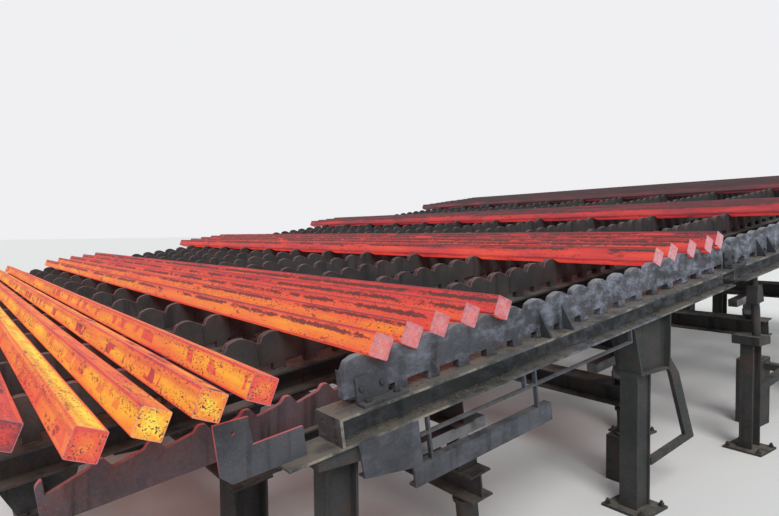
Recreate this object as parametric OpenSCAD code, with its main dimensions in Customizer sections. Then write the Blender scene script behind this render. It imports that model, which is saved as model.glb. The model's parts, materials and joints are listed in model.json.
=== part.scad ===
// Inclined walking beam cooling bed, loaded with hot square billets.
// Fixed toothed rakes hold the billets. Walking rakes between them lift and carry them up the slope.
// Bed axes: u runs up the slope, v across it along the billets, n square to the bed.
// n = 0 is the line of the fixed tooth crests, and u = 0 the first seat of the inner rows.

/* [Bed] */
// Slope of the bed in degrees
incline = 7.37; // [4:0.01:9]
// Height of the fixed tooth crests above the floor at u = 0
entry_h = 1620; // [1560:10:2200]
// Distance from one billet seat to the next
pitch = 279; // [270:1:300]
// Bays of the bed, each on its own length of beam
bays = 3; // [1:1:4]
// Billet seats in one bay
bay_teeth = 19; // [17:1:21]
// Billet seats ahead of the first bay on the inner rows
entry_teeth = 6; // [6:1:8]
// Seats that the last bay is shorter by
end_teeth = 2; // [1:1:3]
// Rows of fixed rakes
rows = 12; // [6:1:14]
// Distance from one row of fixed rakes to the next
row_pitch = 1170; // [1100:5:1300]

/* [Fixed rake] */
// Thickness of the rake plate
rake_t = 62; // [40:1:80]
// Depth of a seat below the crests
seat_depth = 75; // [60:1:80]
// Slope of the long side of a seat in degrees
seat_angle = 30; // [28:1:33]
// Height of the short steep side of a seat
flank_h = 53; // [40:1:55]
// Length of the flat crest
crest_w = 59; // [40:1:65]
// Height of the rake from its feet to the crests
rake_h = 305; // [290:1:340]
// Width of a foot
foot_w = 101; // [80:1:120]
// Height of the slots between the feet
slot_h = 59; // [40:1:70]
// Start of a foot beyond the seat
foot_start = 88; // [80:1:95]
// Rake ahead of its first seat
rake_lead = 22; // [15:1:30]
// Gap between two lengths of rake
rake_gap = 3; // [1:1:6]

/* [Fixed beam] */
// Height of the beam under a rake
beam_h = 190; // [180:1:220]
// Width of its flanges
beam_w = 275; // [240:1:290]
// Thickness of its flanges
beam_flange = 16; // [10:1:22]
// Thickness of its web
beam_web = 12; // [8:1:20]
// Beam ahead of the first seat of its bay
beam_lead = 130; // [100:1:150]
// Gap between two lengths of beam
beam_gap = 270; // [240:1:300]
// Length of the tongue ahead of the front beam
tongue_l = 350; // [300:1:400]
// Diameter of the bolt holes in the front beam's end plate
end_hole_d = 22; // [16:1:28]

/* [Walking rake] */
// Thickness of the walking rake plate
walk_t = 38; // [25:1:50]
// Height of the walking rake plate
walk_h = 250; // [220:1:270]
// Depth of its crests below the fixed crests, lowered
walk_drop = 255; // [250:1:270]
// Distance of a walking rake behind its fixed row
walk_v = 395; // [360:1:440]
// Start of the walking rake
walk_start = 64; // [30:1:70]
// First seat of the walking rake
walk_seat = 100; // [90:1:110]
// Depth of a walking seat below its crest
walk_depth = 66; // [50:1:75]
// Rise of the long slope in a walking seat
walk_rise = 33; // [25:1:40]
// Length of that slope
walk_slope = 165; // [150:1:175]
// Run of the steeper rise up to a walking crest
walk_riser = 35; // [25:1:40]
// Length of a walking crest
walk_crest = 38; // [30:1:50]
// Extra length of its first seat
walk_first = 52; // [30:1:60]

/* [Walking frame] */
// Height of the beam under a walking rake
walk_beam_h = 180; // [160:1:190]
// Width of that beam
walk_beam_w = 150; // [120:1:180]
// Start of that beam
walk_beam_start = 1100; // [1000:10:1300]
// Height of a walking cross girder
walk_girder_h = 240; // [200:1:260]
// Width of a walking cross girder
walk_girder_w = 200; // [160:1:240]
// First walking girder of a bay, from the joint of the beams
girder_at = 1500; // [1400:10:1600]
// Distance between the two walking girders of a bay
girder_step = 2300; // [2100:10:2400]
// Length of a runner shoe
shoe_l = 760; // [700:10:900]
// Height of a runner shoe
shoe_h = 90; // [70:1:110]
// Width of a runner shoe
shoe_w = 110; // [90:1:130]
// Travel of the walking frame up the slope
walk_travel = 279; // [200:1:279]
// Free lift of the frame below the billets
lift_travel = 160; // [100:1:170]

/* [Lift frame] */
// Diameter of a roller
roller_d = 240; // [200:1:260]
// Width of a roller
roller_w = 90; // [70:1:100]
// Diameter of a roller's axle
axle_d = 60; // [50:1:70]
// Thickness of a roller's cheek plates
cheek_t = 25; // [15:1:30]
// Width of a cheek plate along the bed
cheek_w = 190; // [150:1:200]
// Height of a lift girder
lift_girder_h = 220; // [180:1:240]
// Width of a lift girder
lift_girder_w = 220; // [200:1:260]
// Gap between a roller and the girder under it
roller_gap = 25; // [15:1:40]
// Diameter of a lift cylinder
barrel_d = 180; // [150:1:200]
// Length of a lift cylinder
barrel_l = 290; // [280:1:300]
// Diameter of its rod
rod_d = 90; // [70:1:110]
// Length of rod between the cylinder and the girder, lowered
rod_free = 30; // [20:1:40]
// Side of the pedestal under a lift cylinder
pedestal_w = 300; // [240:1:340]

/* [Supports] */
// Gap between the walking beams and the fixed cross girders
girder_gap = 50; // [30:1:80]
// Height of a fixed cross girder
girder_h = 300; // [260:1:320]
// Width of a fixed cross girder
girder_w = 300; // [260:1:320]
// Reach of a fixed cross girder beyond the last row
girder_reach = 200; // [160:1:240]
// Length of a stool under the beam joints
stool_l = 460; // [420:1:500]
// Width of a stool
stool_w = 160; // [120:1:200]
// Side of a column
column_w = 270; // [240:1:290]
// Thickness of the flanges and web of columns and girders
plate_t = 18; // [12:1:22]
// Side of a base plate
base_w = 420; // [400:5:480]
// Thickness of a base plate
base_t = 25; // [20:1:40]
// Distance between the anchor holes of a base plate
anchor_step = 340; // [330:1:350]
// Diameter of an anchor hole
anchor_d = 30; // [24:1:36]
// First support of the inner rows
entry_support = 140; // [120:1:200]

/* [Front row] */
// Thickness of gussets, clamp plates and hangers
trim_t = 20; // [12:1:25]
// Seats between one pair of gussets and the next
gusset_step = 14; // [12:1:16]
// Seats ahead of the first pair of gussets
gusset_first = 12; // [10:1:13]
// Height of a gusset
gusset_h = 200; // [150:1:220]
// Length of a clamp plate
clamp_l = 340; // [300:1:380]
// Side of a front post along the bed
post_w = 230; // [210:5:260]
// Width of its flanges
post_flange = 140; // [120:5:180]
// First front post beyond the start of its beam
post_set = 31; // [10:1:60]
// Later front posts beyond the joints of the beams
post_shift = 506; // [480:1:530]
// Top of a post's yoke below the beam
yoke_drop = 715; // [680:5:740]
// Height of a yoke
yoke_h = 100; // [80:5:120]
// Side of a yoke
yoke_w = 300; // [280:5:320]
// Diameter of the jack's screw
jack_d = 90; // [70:1:100]
// Height of the jack's head
jack_h = 205; // [180:5:220]
// Neck between the beam and the jack's head
jack_neck = 115; // [90:5:130]
// Middle of a trestle beyond the start of its beam
trestle_at = 3390; // [3300:5:3450]
// Half width of a trestle below the beam
trestle_top = 320; // [280:5:340]
// Half width of a trestle on its shelf
trestle_foot = 245; // [220:5:255]
// Width of its flanges
trestle_w = 250; // [220:5:260]
// Top of its shelf below the beam
shelf_drop = 476; // [450:2:500]
// Width of its leg along the bed
leg_w = 220; // [180:5:240]
// Strut of a trestle below the shelf
strut_drop = 880; // [820:10:900]
// Top of the lower beam below the main beam
lower_gap = 290; // [270:1:310]
// Height of the lower beam
lower_h = 140; // [120:1:160]
// Width of the lower beam
lower_w = 70; // [60:1:90]
// Start of the lower beam beyond the start of the main beam
lower_at = 490; // [470:5:520]
// Length of the lower beam
lower_l = 1370; // [1300:10:1450]
// Length of the bracket at its low end
bracket_l = 460; // [440:5:480]
// Length of the rail above the lower beam
rail_l = 2440; // [2200:10:2500]
// Rail below the main beam
rail_gap = 100; // [90:1:120]
// Height of the ties between the front posts
tie_h = 85; // [60:1:100]
// Width of those ties
tie_w = 80; // [60:1:100]
// Reach of the entry plate beyond the tongue
entry_reach = 340; // [300:1:380]
// Diameter of the hole in the entry plate
entry_hole_d = 22; // [16:1:30]

/* [Billets] */
// Side of a billet
billet = 150; // [120:1:160]
// Corner radius of a billet
billet_r = 9; // [4:1:14]
// Length of the billets
billet_l = 14000; // [13500:10:14200]
// Overhang of the billets in front of the first row
overhang = 100; // [60:1:120]
// Overhang of the hottest group
hot_overhang = 190; // [150:1:200]
// Largest stagger of the billets' ends
stagger = 90; // [0:1:120]
// First billet behind the others
first_back = 530; // [400:10:600]

/* [Hidden] */

// Play between pieces that only rest against each other
seat = 0.3;
bay_l = bay_teeth * pitch;
bay_start = entry_teeth * pitch;
last_seat = entry_teeth + bays * bay_teeth - end_teeth;
row_end = (rows - 1) * row_pitch;
beam_start = bay_start - beam_lead;
beam_l = bay_l - beam_gap;
bed_end = beam_start + bays * bay_l - beam_gap;
beam_top = -rake_h;
beam_bottom = beam_top - beam_h;

walk_top = -walk_drop;
walk_bottom = walk_top - walk_h;
walk_beam_bottom = walk_bottom - walk_beam_h;
walk_girder_bottom = walk_beam_bottom - walk_girder_h;
shoe_bottom = walk_girder_bottom - shoe_h;
roller_n = shoe_bottom - seat - roller_d / 2;
lift_top = roller_n - roller_d / 2 - roller_gap;
lift_bottom = lift_top - lift_girder_h;
barrel_top = lift_bottom - rod_free;
barrel_bottom = barrel_top - barrel_l;
walk_teeth = last_seat - 2;
walk_end = walk_seat + walk_first + walk_teeth * pitch;

girder_top = walk_beam_bottom - girder_gap;
girder_bottom = girder_top - girder_h;
joints_u = [for (b = [0:bays - 1]) beam_start - beam_gap / 2 + b * bay_l];
end_support = bed_end - stool_l / 2;
supports_u = concat([entry_support], joints_u, [end_support]);
walk_stations = [for (u = joints_u) for (k = [0, 1]) u + girder_at + k * girder_step];
walk_rows = [for (i = [0:rows - 2]) i * row_pitch + walk_v];
roller_rows = [walk_rows[0], walk_rows[floor(rows / 3)], walk_rows[floor(2 * rows / 3)], walk_rows[rows - 2]];
column_rows = [row_pitch, floor(rows / 3) * row_pitch, floor(2 * rows / 3) * row_pitch, row_end];

// Height above the floor, and place along the level floor, of a point of the bed
function height_at(u, n) = entry_h + u * sin(incline) + n * cos(incline);
function level_x(u, n) = u * cos(incline) - n * sin(incline);
// The point at height z straight under a point of the bed, clear of what it stands on
function under(u, n, z) =
    let (d = height_at(u, n) - z - (z > 0 ? seat : 0))
    [u - d * sin(incline), n - d * cos(incline)];

// The part's origin lies under the middle of its box
x_low = level_x(-beam_lead, beam_top);
x_high = max(level_x(bed_end, beam_bottom), level_x(end_support, girder_bottom) + base_w / 2);
y_low = -base_w / 2;
y_high = max(row_end + base_w / 2, billet_l - overhang);
mid_x = (x_low + x_high) / 2;
mid_y = (y_low + y_high) / 2;

module bed() {
    translate([-mid_x, -mid_y, entry_h]) rotate([0, -incline, 0]) children();
}
module level() {
    translate([-mid_x, -mid_y, 0]) children();
}
// The depth at u of a level line that passes u0 at depth n0
function level_n(u0, n0, u) = n0 - (u - u0) * tan(incline);
// Extrude a drawing in u and n across the bed, from v for a width w
module across(v, w) {
    translate([0, v + w, 0]) rotate([90, 0, 0]) linear_extrude(w) children();
}
// Extrude a drawing in v and n along the bed, from u for a length l
module along(u, l) {
    translate([u, 0, 0]) rotate([90, 0, 90]) linear_extrude(l) children();
}
// An I section hanging from n = 0
module i_section(h, w, flange, web) {
    polygon([
        [-w / 2, 0], [w / 2, 0], [w / 2, -flange], [web / 2, -flange],
        [web / 2, flange - h], [w / 2, flange - h], [w / 2, -h], [-w / 2, -h],
        [-w / 2, flange - h], [-web / 2, flange - h], [-web / 2, -flange], [-w / 2, -flange]]);
}
// An upright block under the bed, with its foot level and its top falling from n to n1
module upright(u0, u1, n, n1, v, w, z) {
    across(v, w) polygon([[u0, n], [u1, n1], under(u1, n1, z), under(u0, n, z)]);
}
// A level bar from u0 to u1, whose top passes u at depth n
module level_bar(u0, u1, u, n, h) {
    polygon([
        [u0, level_n(u, n, u0)], [u1, level_n(u, n, u1)],
        [u1, level_n(u, n, u1) - h], [u0, level_n(u, n, u0) - h]]);
}
// An upright H column under the bed, centred on u, with flanges of width w
module h_column(u, n, v, side, w, z) {
    u0 = u - side / 2;
    u1 = u + side / 2;
    union() {
        upright(u0, u0 + plate_t, n, n, v - w / 2, w, z);
        upright(u1 - plate_t, u1, n, n, v - w / 2, w, z);
        upright(u0 + plate_t, u1 - plate_t, n, n, v - plate_t / 2, plate_t, z);
    }
}

// One seat and the tooth after it, from the seat at x
function tooth(x) = [
    [x, -seat_depth],
    [x + flank_h * tan(seat_angle), flank_h - seat_depth],
    [x + pitch - seat_depth / tan(seat_angle) - crest_w, 0],
    [x + pitch - seat_depth / tan(seat_angle), 0]];
// The feet under a length of rake, from its far end back
function feet(first, count) = [
    for (i = [count - 1:-1:0])
        for (p = [[foot_start + foot_w, slot_h], [foot_start + foot_w, 0], [foot_start, 0], [foot_start, slot_h]])
            [(first + i) * pitch + p[0], p[1] - rake_h]];
module rake_length(first, count) {
    x0 = first * pitch - rake_lead;
    x1 = (first + count) * pitch - rake_lead - rake_gap;
    lead_n = rake_lead * tan(seat_angle) - seat_depth;
    end_n = (rake_lead + rake_gap) * tan(seat_angle) - seat_depth;
    polygon(concat(
        [[x0, slot_h - rake_h], [x0, lead_n]],
        [for (i = [0:count - 1]) each tooth((first + i) * pitch)],
        [[x1, end_n], [x1, slot_h - rake_h]],
        feet(first, count)));
}
// A fixed rake row in its lengths, one to a bay
module fixed_rake(row) {
    color([0.43, 0.44, 0.47]) bed() translate([0, row * row_pitch - rake_t / 2, 0]) {
        if (row > 0) across(0, rake_t) rake_length(0, entry_teeth);
        for (b = [0:bays - 1])
            across(0, rake_t)
                rake_length(entry_teeth + b * bay_teeth, bay_teeth - (b == bays - 1 ? end_teeth : 0));
    }
}

module beam_profile() {
    i_section(beam_h, beam_w, beam_flange, beam_web);
}
module bay_beams(row) {
    translate([0, row * row_pitch, beam_top])
        for (b = [0:bays - 1]) along(beam_start + b * bay_l, beam_l) beam_profile();
}
// The first front beam has an end plate, and its bottom flange runs on as a tongue
module front_beams() {
    color([0.36, 0.37, 0.36]) bed() union() {
        bay_beams(0);
        translate([beam_start - tongue_l, -beam_w / 2, beam_bottom]) cube([tongue_l, beam_w, beam_flange]);
        difference() {
            translate([beam_start, -beam_w / 2, beam_bottom]) cube([trim_t, beam_w, beam_h]);
            for (n = [0.3, 0.72]) for (side = [-1, 1])
                translate([beam_start - 1, side * beam_w / 4, beam_bottom + n * beam_h]) rotate([0, 90, 0])
                    cylinder(h = trim_t + 2, d = end_hole_d, $fn = 32);
        }
    }
}
module inner_beams() {
    color([0.33, 0.33, 0.33]) bed() for (row = [1:rows - 1]) {
        bay_beams(row);
        translate([0, row * row_pitch, beam_top])
            along(-beam_lead, beam_start - beam_gap + beam_lead) beam_profile();
    }
}

// Stools carry the inner beams above the cross girders
module beam_stools() {
    color([0.3, 0.3, 0.31]) bed()
        for (u = supports_u) for (row = [1:rows - 1])
            translate([u, row * row_pitch, beam_bottom]) stool(beam_bottom - girder_top);
}
module stool(h) {
    union() {
        translate([-stool_l / 2, -stool_w / 2, -plate_t]) cube([stool_l, stool_w, plate_t]);
        translate([-girder_w / 2, -stool_w / 2, -h]) cube([girder_w, stool_w, plate_t]);
        translate([-plate_t / 2, -stool_w / 2, plate_t - h]) cube([plate_t, stool_w, h - 2 * plate_t]);
        across(-plate_t / 2, plate_t)
            polygon([[-stool_l / 2, -plate_t], [stool_l / 2, -plate_t],
                     [girder_w / 2, plate_t - h], [-girder_w / 2, plate_t - h]]);
    }
}
module cross_girders() {
    color([0.3, 0.3, 0.31]) bed() for (u = supports_u)
        translate([u, 0, girder_top])
            across(row_pitch - girder_reach, row_end - row_pitch + 2 * girder_reach)
                i_section(girder_h, girder_w, plate_t, plate_t);
}
module columns() {
    color([0.28, 0.28, 0.29]) bed() for (u = supports_u) for (v = column_rows)
        h_column(u, girder_bottom, v, column_w, column_w, base_t);
}
module base_plate(x, v) {
    translate([x, v, 0]) difference() {
        translate([-base_w / 2, -base_w / 2, 0]) cube([base_w, base_w, base_t]);
        for (i = [-1, 1]) for (j = [-1, 1])
            translate([i * anchor_step / 2, j * anchor_step / 2, -1])
                cylinder(h = base_t + 2, d = anchor_d, $fn = 48);
    }
}
module base_plates() {
    color([0.27, 0.26, 0.25]) level() {
        for (u = supports_u) for (v = column_rows) base_plate(level_x(u, girder_bottom), v);
        for (foot = concat(post_tops, leg_tops)) base_plate(level_x(foot[0], foot[1]), 0);
    }
}

// The front row stands on its own posts: the first under the beam's end, the others under jacks
yoke_n = beam_bottom - yoke_drop;
post_top = yoke_n - yoke_h / 2;
post_tops = concat([[beam_start + post_set, beam_bottom]],
    [for (b = [1:bays - 1]) [joints_u[b] + post_shift, post_top]], [[end_support, post_top]]);
packing_h = 98;
module front_supports() {
    color([0.34, 0.34, 0.34]) bed() {
        union() {
            post(post_tops[0]);
            across(-post_w / 2, post_w) packing(post_tops[0][0]);
        }
        for (i = [1:len(post_tops) - 1]) union() {
            post(post_tops[i]);
            across(-yoke_w / 2, yoke_w)
                level_bar(post_tops[i][0] - yoke_w / 2, post_tops[i][0] + yoke_w / 2, post_tops[i][0], yoke_n, yoke_h);
            jack(post_tops[i][0]);
        }
    }
}
module post(top) {
    h_column(top[0], top[1], 0, post_w, post_flange, base_t);
}
// The wedge between the sloping beam and the first post, with a level foot
module packing(u) {
    u0 = u - post_w / 2 - packing_h * 0.8;
    u1 = u + post_w / 2 + trim_t;
    foot = beam_bottom - packing_h;
    polygon([[u0, beam_bottom], [u1, beam_bottom], [u1, level_n(u, foot, u1)], [u0, level_n(u, foot, u0)]]);
}
// A screw jack in front of the beam's web: neck, tapered head and screw
jack_v = -60;
module jack(u) {
    top = beam_bottom - jack_neck;
    foot = top - jack_h;
    across(jack_v - yoke_w / 5, yoke_w * 0.4) polygon([
        [u - jack_d * 0.6, top], [u + jack_d * 0.6, top], [u + jack_d, foot + trim_t], [u + jack_d, foot],
        [u - jack_d, foot], [u - jack_d, foot + trim_t]]);
    translate([u, jack_v, top - trim_t]) cylinder(h = jack_neck + trim_t, d = jack_d * 0.8, $fn = 48);
    translate([u, jack_v, post_top]) cylinder(h = foot + trim_t - post_top, d = jack_d, $fn = 48);
}

// Tapered trestles carry the front row between its posts: flanges and a web on a level shelf, with a leg and a strut
shelf_n = beam_bottom - shelf_drop;
trestles_u = [for (b = [0:bays - 1]) beam_start + b * bay_l + trestle_at];
leg_out = trestle_foot + 5;
// The top of a leg lies in the middle of the shelf's thickness
function leg_n(u, at) = level_n(u, shelf_n - trim_t / 2, at);
leg_tops = [for (u = trestles_u) [u - leg_out + leg_w / 2, leg_n(u, u - leg_out + leg_w / 2)]];
module front_trestles() {
    color([0.35, 0.35, 0.34]) bed() for (u = trestles_u) union() {
        for (side = [-1, 1]) across(-trestle_w / 2, trestle_w) trestle_flange(u, side);
        across(web_v, plate_t) polygon([
            [u - trestle_top, beam_bottom], [u + trestle_top, beam_bottom],
            [u + trestle_foot, level_n(u, shelf_n, u + trestle_foot)],
            [u - trestle_foot, level_n(u, shelf_n, u - trestle_foot)]]);
        across(-trestle_w / 2, trestle_w) level_bar(u - leg_out, u + leg_out, u, shelf_n, trim_t);
        trestle_leg(u, u - leg_out, u - leg_out + leg_w);
        across(strut_v, 2 * trim_t) strut(u);
    }
}
web_v = -70;
strut_v = -100;
module trestle_flange(u, side) {
    in = side * trim_t;
    top = u + side * trestle_top;
    foot = u + side * trestle_foot;
    polygon([[top - in, beam_bottom], [top, beam_bottom], [foot, level_n(u, shelf_n, foot)],
        [foot - in, level_n(u, shelf_n, foot - in)]]);
}
module trestle_leg(u, u0, u1) {
    w = leg_w * 0.8;
    upright(u0, u0 + plate_t, leg_n(u, u0), leg_n(u, u0 + plate_t), -w / 2, w, base_t);
    upright(u1 - plate_t, u1, leg_n(u, u1 - plate_t), leg_n(u, u1), -w / 2, w, base_t);
    upright(u0 + plate_t, u1 - plate_t, leg_n(u, u0 + plate_t), leg_n(u, u1 - plate_t), web_v, plate_t, base_t);
}
// A raking strut from the trestle's right flange to a spreader off its leg
module strut(u) {
    head = trestle_foot * 1.8;
    reach = trestle_foot * 2.7;
    width = leg_w * 0.65;
    low = shelf_n - strut_drop;
    polygon([
        [u + trestle_foot - trim_t / 2, shelf_n + leg_w / 4], [u + trestle_foot + width / 3, shelf_n + leg_w / 4],
        [u + head, shelf_n - width], [u + reach, low], [u - leg_out + leg_w / 2, low],
        [u - leg_out + leg_w / 2, low + width / 2], [u + reach - width - trim_t, low + width / 2],
        [u + head - width, shelf_n - width * 0.8], [u + trestle_foot - trim_t / 2, shelf_n - trim_t]]);
}

// A channel hung under the first front beam, with a bracket at its low end and a thin rail above it
lower_u = beam_start + lower_at;
lower_top = beam_bottom - lower_gap;
lower_v = -beam_w / 2;
hanger_t = 16;
module lower_beam() {
    rail_n = beam_bottom - rail_gap;
    bracket_u = lower_u - bracket_l * 0.83;
    color([0.37, 0.37, 0.38]) bed() union() {
        translate([lower_u, lower_v, lower_top - lower_h]) difference() {
            cube([lower_l, lower_w, lower_h]);
            translate([-1, plate_t, plate_t]) cube([lower_l + 2, lower_w, lower_h - 2 * plate_t]);
        }
        for (u = [lower_u + bracket_l / 3, lower_u + lower_l - bracket_l / 3])
            translate([u, lower_v, lower_top - plate_t]) cube([hanger_t, lower_w / 2, lower_gap + plate_t]);
        across(lower_v, plate_t) polygon([
            [bracket_u, beam_bottom], [bracket_u + bracket_l, beam_bottom],
            [bracket_u + bracket_l, lower_top - hanger_t], [bracket_u + hanger_t, lower_top + lower_h / 2]]);
        across(lower_v, lower_w) polygon([
            [bracket_u + bracket_l, lower_top - hanger_t], [bracket_u + bracket_l, lower_top],
            [bracket_u + hanger_t, lower_top + lower_h / 2 + hanger_t], [bracket_u + hanger_t, lower_top + lower_h / 2]]);
        translate([lower_u + rail_at, lower_v, rail_n - hanger_t]) cube([rail_l, lower_w / 2, hanger_t]);
        for (u = [lower_u + lower_l * 0.8, lower_u + rail_at + rail_l - hanger_t])
            translate([u, lower_v, rail_n - hanger_t]) cube([hanger_t, lower_w / 2, rail_gap + hanger_t]);
    }
}
rail_at = 85;

// Ties between the posts and trestles of the front row, with links to the nearest pedestals
tie_n = barrel_bottom - 36;
// Where an upright with its top at u and n0 stands at depth n
function plumb_u(u, n0, n) = u - (n0 - n) * tan(incline);
// The upper end of the face of leg b on one side, with its seat
function leg_face(b, side) = let (u = leg_tops[b][0] + side * leg_w / 2) [u + side * seat, leg_n(trestles_u[b], u)];
module tie(u0, n0, u1, n1) {
    low = tie_n - tie_h;
    across(-tie_w / 2, tie_w) polygon([
        [plumb_u(u0, n0, tie_n), tie_n], [plumb_u(u1, n1, tie_n), tie_n],
        [plumb_u(u1, n1, low), low], [plumb_u(u0, n0, low), low]]);
}
module front_ties() {
    post_out = post_w / 2 + seat;
    color([0.36, 0.36, 0.37]) bed() union() {
        for (b = [1:bays - 1]) {
            tie(post_tops[b][0] + post_out, post_top, leg_face(b, -1)[0], leg_face(b, -1)[1]);
            tie(leg_face(b, 1)[0], leg_face(b, 1)[1], post_tops[b + 1][0] - post_out, post_top);
        }
        for (i = [2:len(walk_stations) - 1])
            translate([walk_stations[i] - tie_h / 2 - 10, tie_w / 2, tie_n - tie_h])
                cube([tie_h, walk_rows[0] - pedestal_w / 2 - tie_w / 2, tie_h]);
    }
}

module gusset_plates() {
    teeth = [for (k = [gusset_first:gusset_step:last_seat - 2]) each [k, k + 1]];
    color([0.42, 0.42, 0.43]) bed() for (k = teeth) {
        u = k * pitch + foot_start + foot_w / 2 - trim_t / 2;
        along(u, trim_t) polygon([
            [-rake_t / 2, beam_top], [-rake_t / 2, beam_top + gusset_h],
            [-beam_w / 2 + 12, beam_top + 20], [-beam_w / 2 + 12, beam_top]]);
        translate([0, row_end, 0]) along(u, trim_t) polygon([
            [rake_t / 2, beam_top], [rake_t / 2, beam_top + gusset_h],
            [beam_w / 2 - 12, beam_top + 20], [beam_w / 2 - 12, beam_top]]);
    }
}
// Plates that clamp the top flanges beside the rake, over the joints of the beams
module clamp_plates() {
    w = (beam_w - rake_t) / 2 - 14;
    color([0.4, 0.4, 0.4]) bed() for (u = concat([beam_start + 360], [for (b = [1:bays - 1]) joints_u[b]]))
        for (side = [-1, 1])
            translate([u - clamp_l / 2, side > 0 ? rake_t / 2 + seat : -rake_t / 2 - seat - w, beam_top])
                cube([clamp_l, w, trim_t]);
}
// The cut plate ahead of the front beam stands on its tongue, in line with the rake
entry_arm_w = 200;
entry_arm_h = 160;
entry_chamfer = 60;
module entry_plate() {
    u0 = beam_start - tongue_l - entry_reach;
    u1 = beam_start - tongue_l + entry_reach / 2;
    foot_n = beam_bottom + beam_flange;
    color([0.38, 0.38, 0.39]) bed() difference() {
        across(-rake_t / 2, trim_t) polygon([
            [u0, foot_n + entry_chamfer], [u0, beam_top + entry_arm_h + 12],
            [u0 + entry_arm_w, beam_top + entry_arm_h], [u0 + entry_arm_w, beam_top],
            [u1, beam_top], [u1, foot_n], [u0 + entry_chamfer, foot_n]]);
        translate([u0 + entry_arm_w / 2, trim_t - rake_t / 2 + 1, beam_top + entry_arm_h * 0.62])
            rotate([90, 0, 0]) cylinder(h = trim_t + 2, d = entry_hole_d, $fn = 48);
    }
}

module walking_profile() {
    lead = walk_seat;
    first = walk_seat + walk_first + pitch;
    polygon(concat(
        [[walk_start, walk_bottom + 40], [walk_start, walk_top - 44], [walk_start + 9, walk_top - 28],
         [walk_start + 28, walk_top - 12], [walk_start + 38, walk_top - 12], [lead, walk_top - walk_depth - 30]],
        walking_tooth(first - pitch),
        [for (i = [0:walk_teeth - 2]) each concat([[first + i * pitch, walk_top - walk_depth]],
            walking_tooth(first + i * pitch))],
        [[walk_end, walk_top - walk_depth], [walk_end, walk_bottom], [walk_start + 50, walk_bottom]]));
}
// The slope, the rise and the rounded crest after a walking seat at x
function walking_tooth(x) = [
    [x + walk_slope, walk_top - walk_depth + walk_rise],
    [x + walk_slope + walk_riser * 0.62, walk_top - 9],
    [x + walk_slope + walk_riser, walk_top],
    [x + walk_slope + walk_riser + walk_crest, walk_top - 4]];
module walking_rake(i) {
    color([0.38, 0.33, 0.35]) bed() across(i * row_pitch + walk_v - walk_t / 2, walk_t) walking_profile();
}
module walking_beams() {
    color([0.3, 0.29, 0.3]) bed() for (v = walk_rows)
        translate([0, v, walk_bottom]) along(walk_beam_start, walk_end - walk_beam_start)
            i_section(walk_beam_h, walk_beam_w, 12, 10);
}
module walking_girders() {
    reach = walk_beam_w;
    color([0.29, 0.29, 0.3]) bed() for (u = walk_stations)
        translate([u, 0, walk_beam_bottom])
            across(walk_rows[0] - reach / 2, walk_rows[rows - 2] - walk_rows[0] + reach)
                i_section(walk_girder_h, walk_girder_w, 16, 12);
}
// Shoes under the walking girders run on the rollers
module runner_shoes() {
    color([0.45, 0.45, 0.46]) bed() for (u = walk_stations) for (v = roller_rows)
        translate([u - walk_travel / 2 - shoe_l / 2, v - shoe_w / 2, shoe_bottom])
            cube([shoe_l, shoe_w, shoe_h]);
}

module roller_brackets() {
    color([0.33, 0.33, 0.34]) bed() for (u = walk_stations) for (v = roller_rows) for (side = [-1, 1])
        translate([u, v + side * (roller_w / 2 + 2 + cheek_t / 2) - cheek_t / 2, 0]) difference() {
            across(0, cheek_t) union() {
                translate([-cheek_w / 2, lift_top]) square([cheek_w, roller_n - lift_top]);
                translate([0, roller_n]) circle(d = axle_d * 1.6, $fn = 48);
            }
            translate([0, cheek_t + 1, roller_n]) rotate([90, 0, 0])
                cylinder(h = cheek_t + 2, d = axle_d + 2 * seat, $fn = 48);
        }
}
module rollers() {
    axle_l = roller_w + 4 + 2 * cheek_t + 20;
    color([0.5, 0.5, 0.52]) bed() for (u = walk_stations) for (v = roller_rows)
        translate([u, v, roller_n]) rotate([90, 0, 0]) union() {
            translate([0, 0, -roller_w / 2]) cylinder(h = roller_w, d = roller_d, $fn = 64);
            translate([0, 0, -axle_l / 2]) cylinder(h = axle_l, d = axle_d, $fn = 48);
        }
}
module lift_girders() {
    color([0.3, 0.3, 0.31]) bed() for (u = walk_stations)
        translate([u, 0, lift_top])
            across(roller_rows[0] - 200, roller_rows[3] - roller_rows[0] + 400)
                i_section(lift_girder_h, lift_girder_w, 16, 14);
}
module lift_rods() {
    color([0.68, 0.69, 0.7]) bed() for (u = walk_stations) for (v = roller_rows)
        translate([u, v, lift_bottom - rod_free - lift_travel - 60])
            cylinder(h = rod_free + lift_travel + 60, d = rod_d, $fn = 48);
}
module lift_cylinders() {
    bore_l = lift_travel + 60 + 15;
    color([0.35, 0.36, 0.38]) bed() for (u = walk_stations) for (v = roller_rows)
        translate([u, v, barrel_bottom]) difference() {
            cylinder(h = barrel_l, d = barrel_d, $fn = 64);
            translate([0, 0, barrel_l - bore_l]) cylinder(h = bore_l + 1, d = rod_d + 2 * seat, $fn = 48);
        }
}
module cylinder_pedestals() {
    color([0.3, 0.3, 0.3]) bed() for (u = walk_stations) for (v = roller_rows)
        upright(u - pedestal_w / 2, u + pedestal_w / 2, barrel_bottom, barrel_bottom, v - pedestal_w / 2,
            pedestal_w, 0);
}

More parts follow.
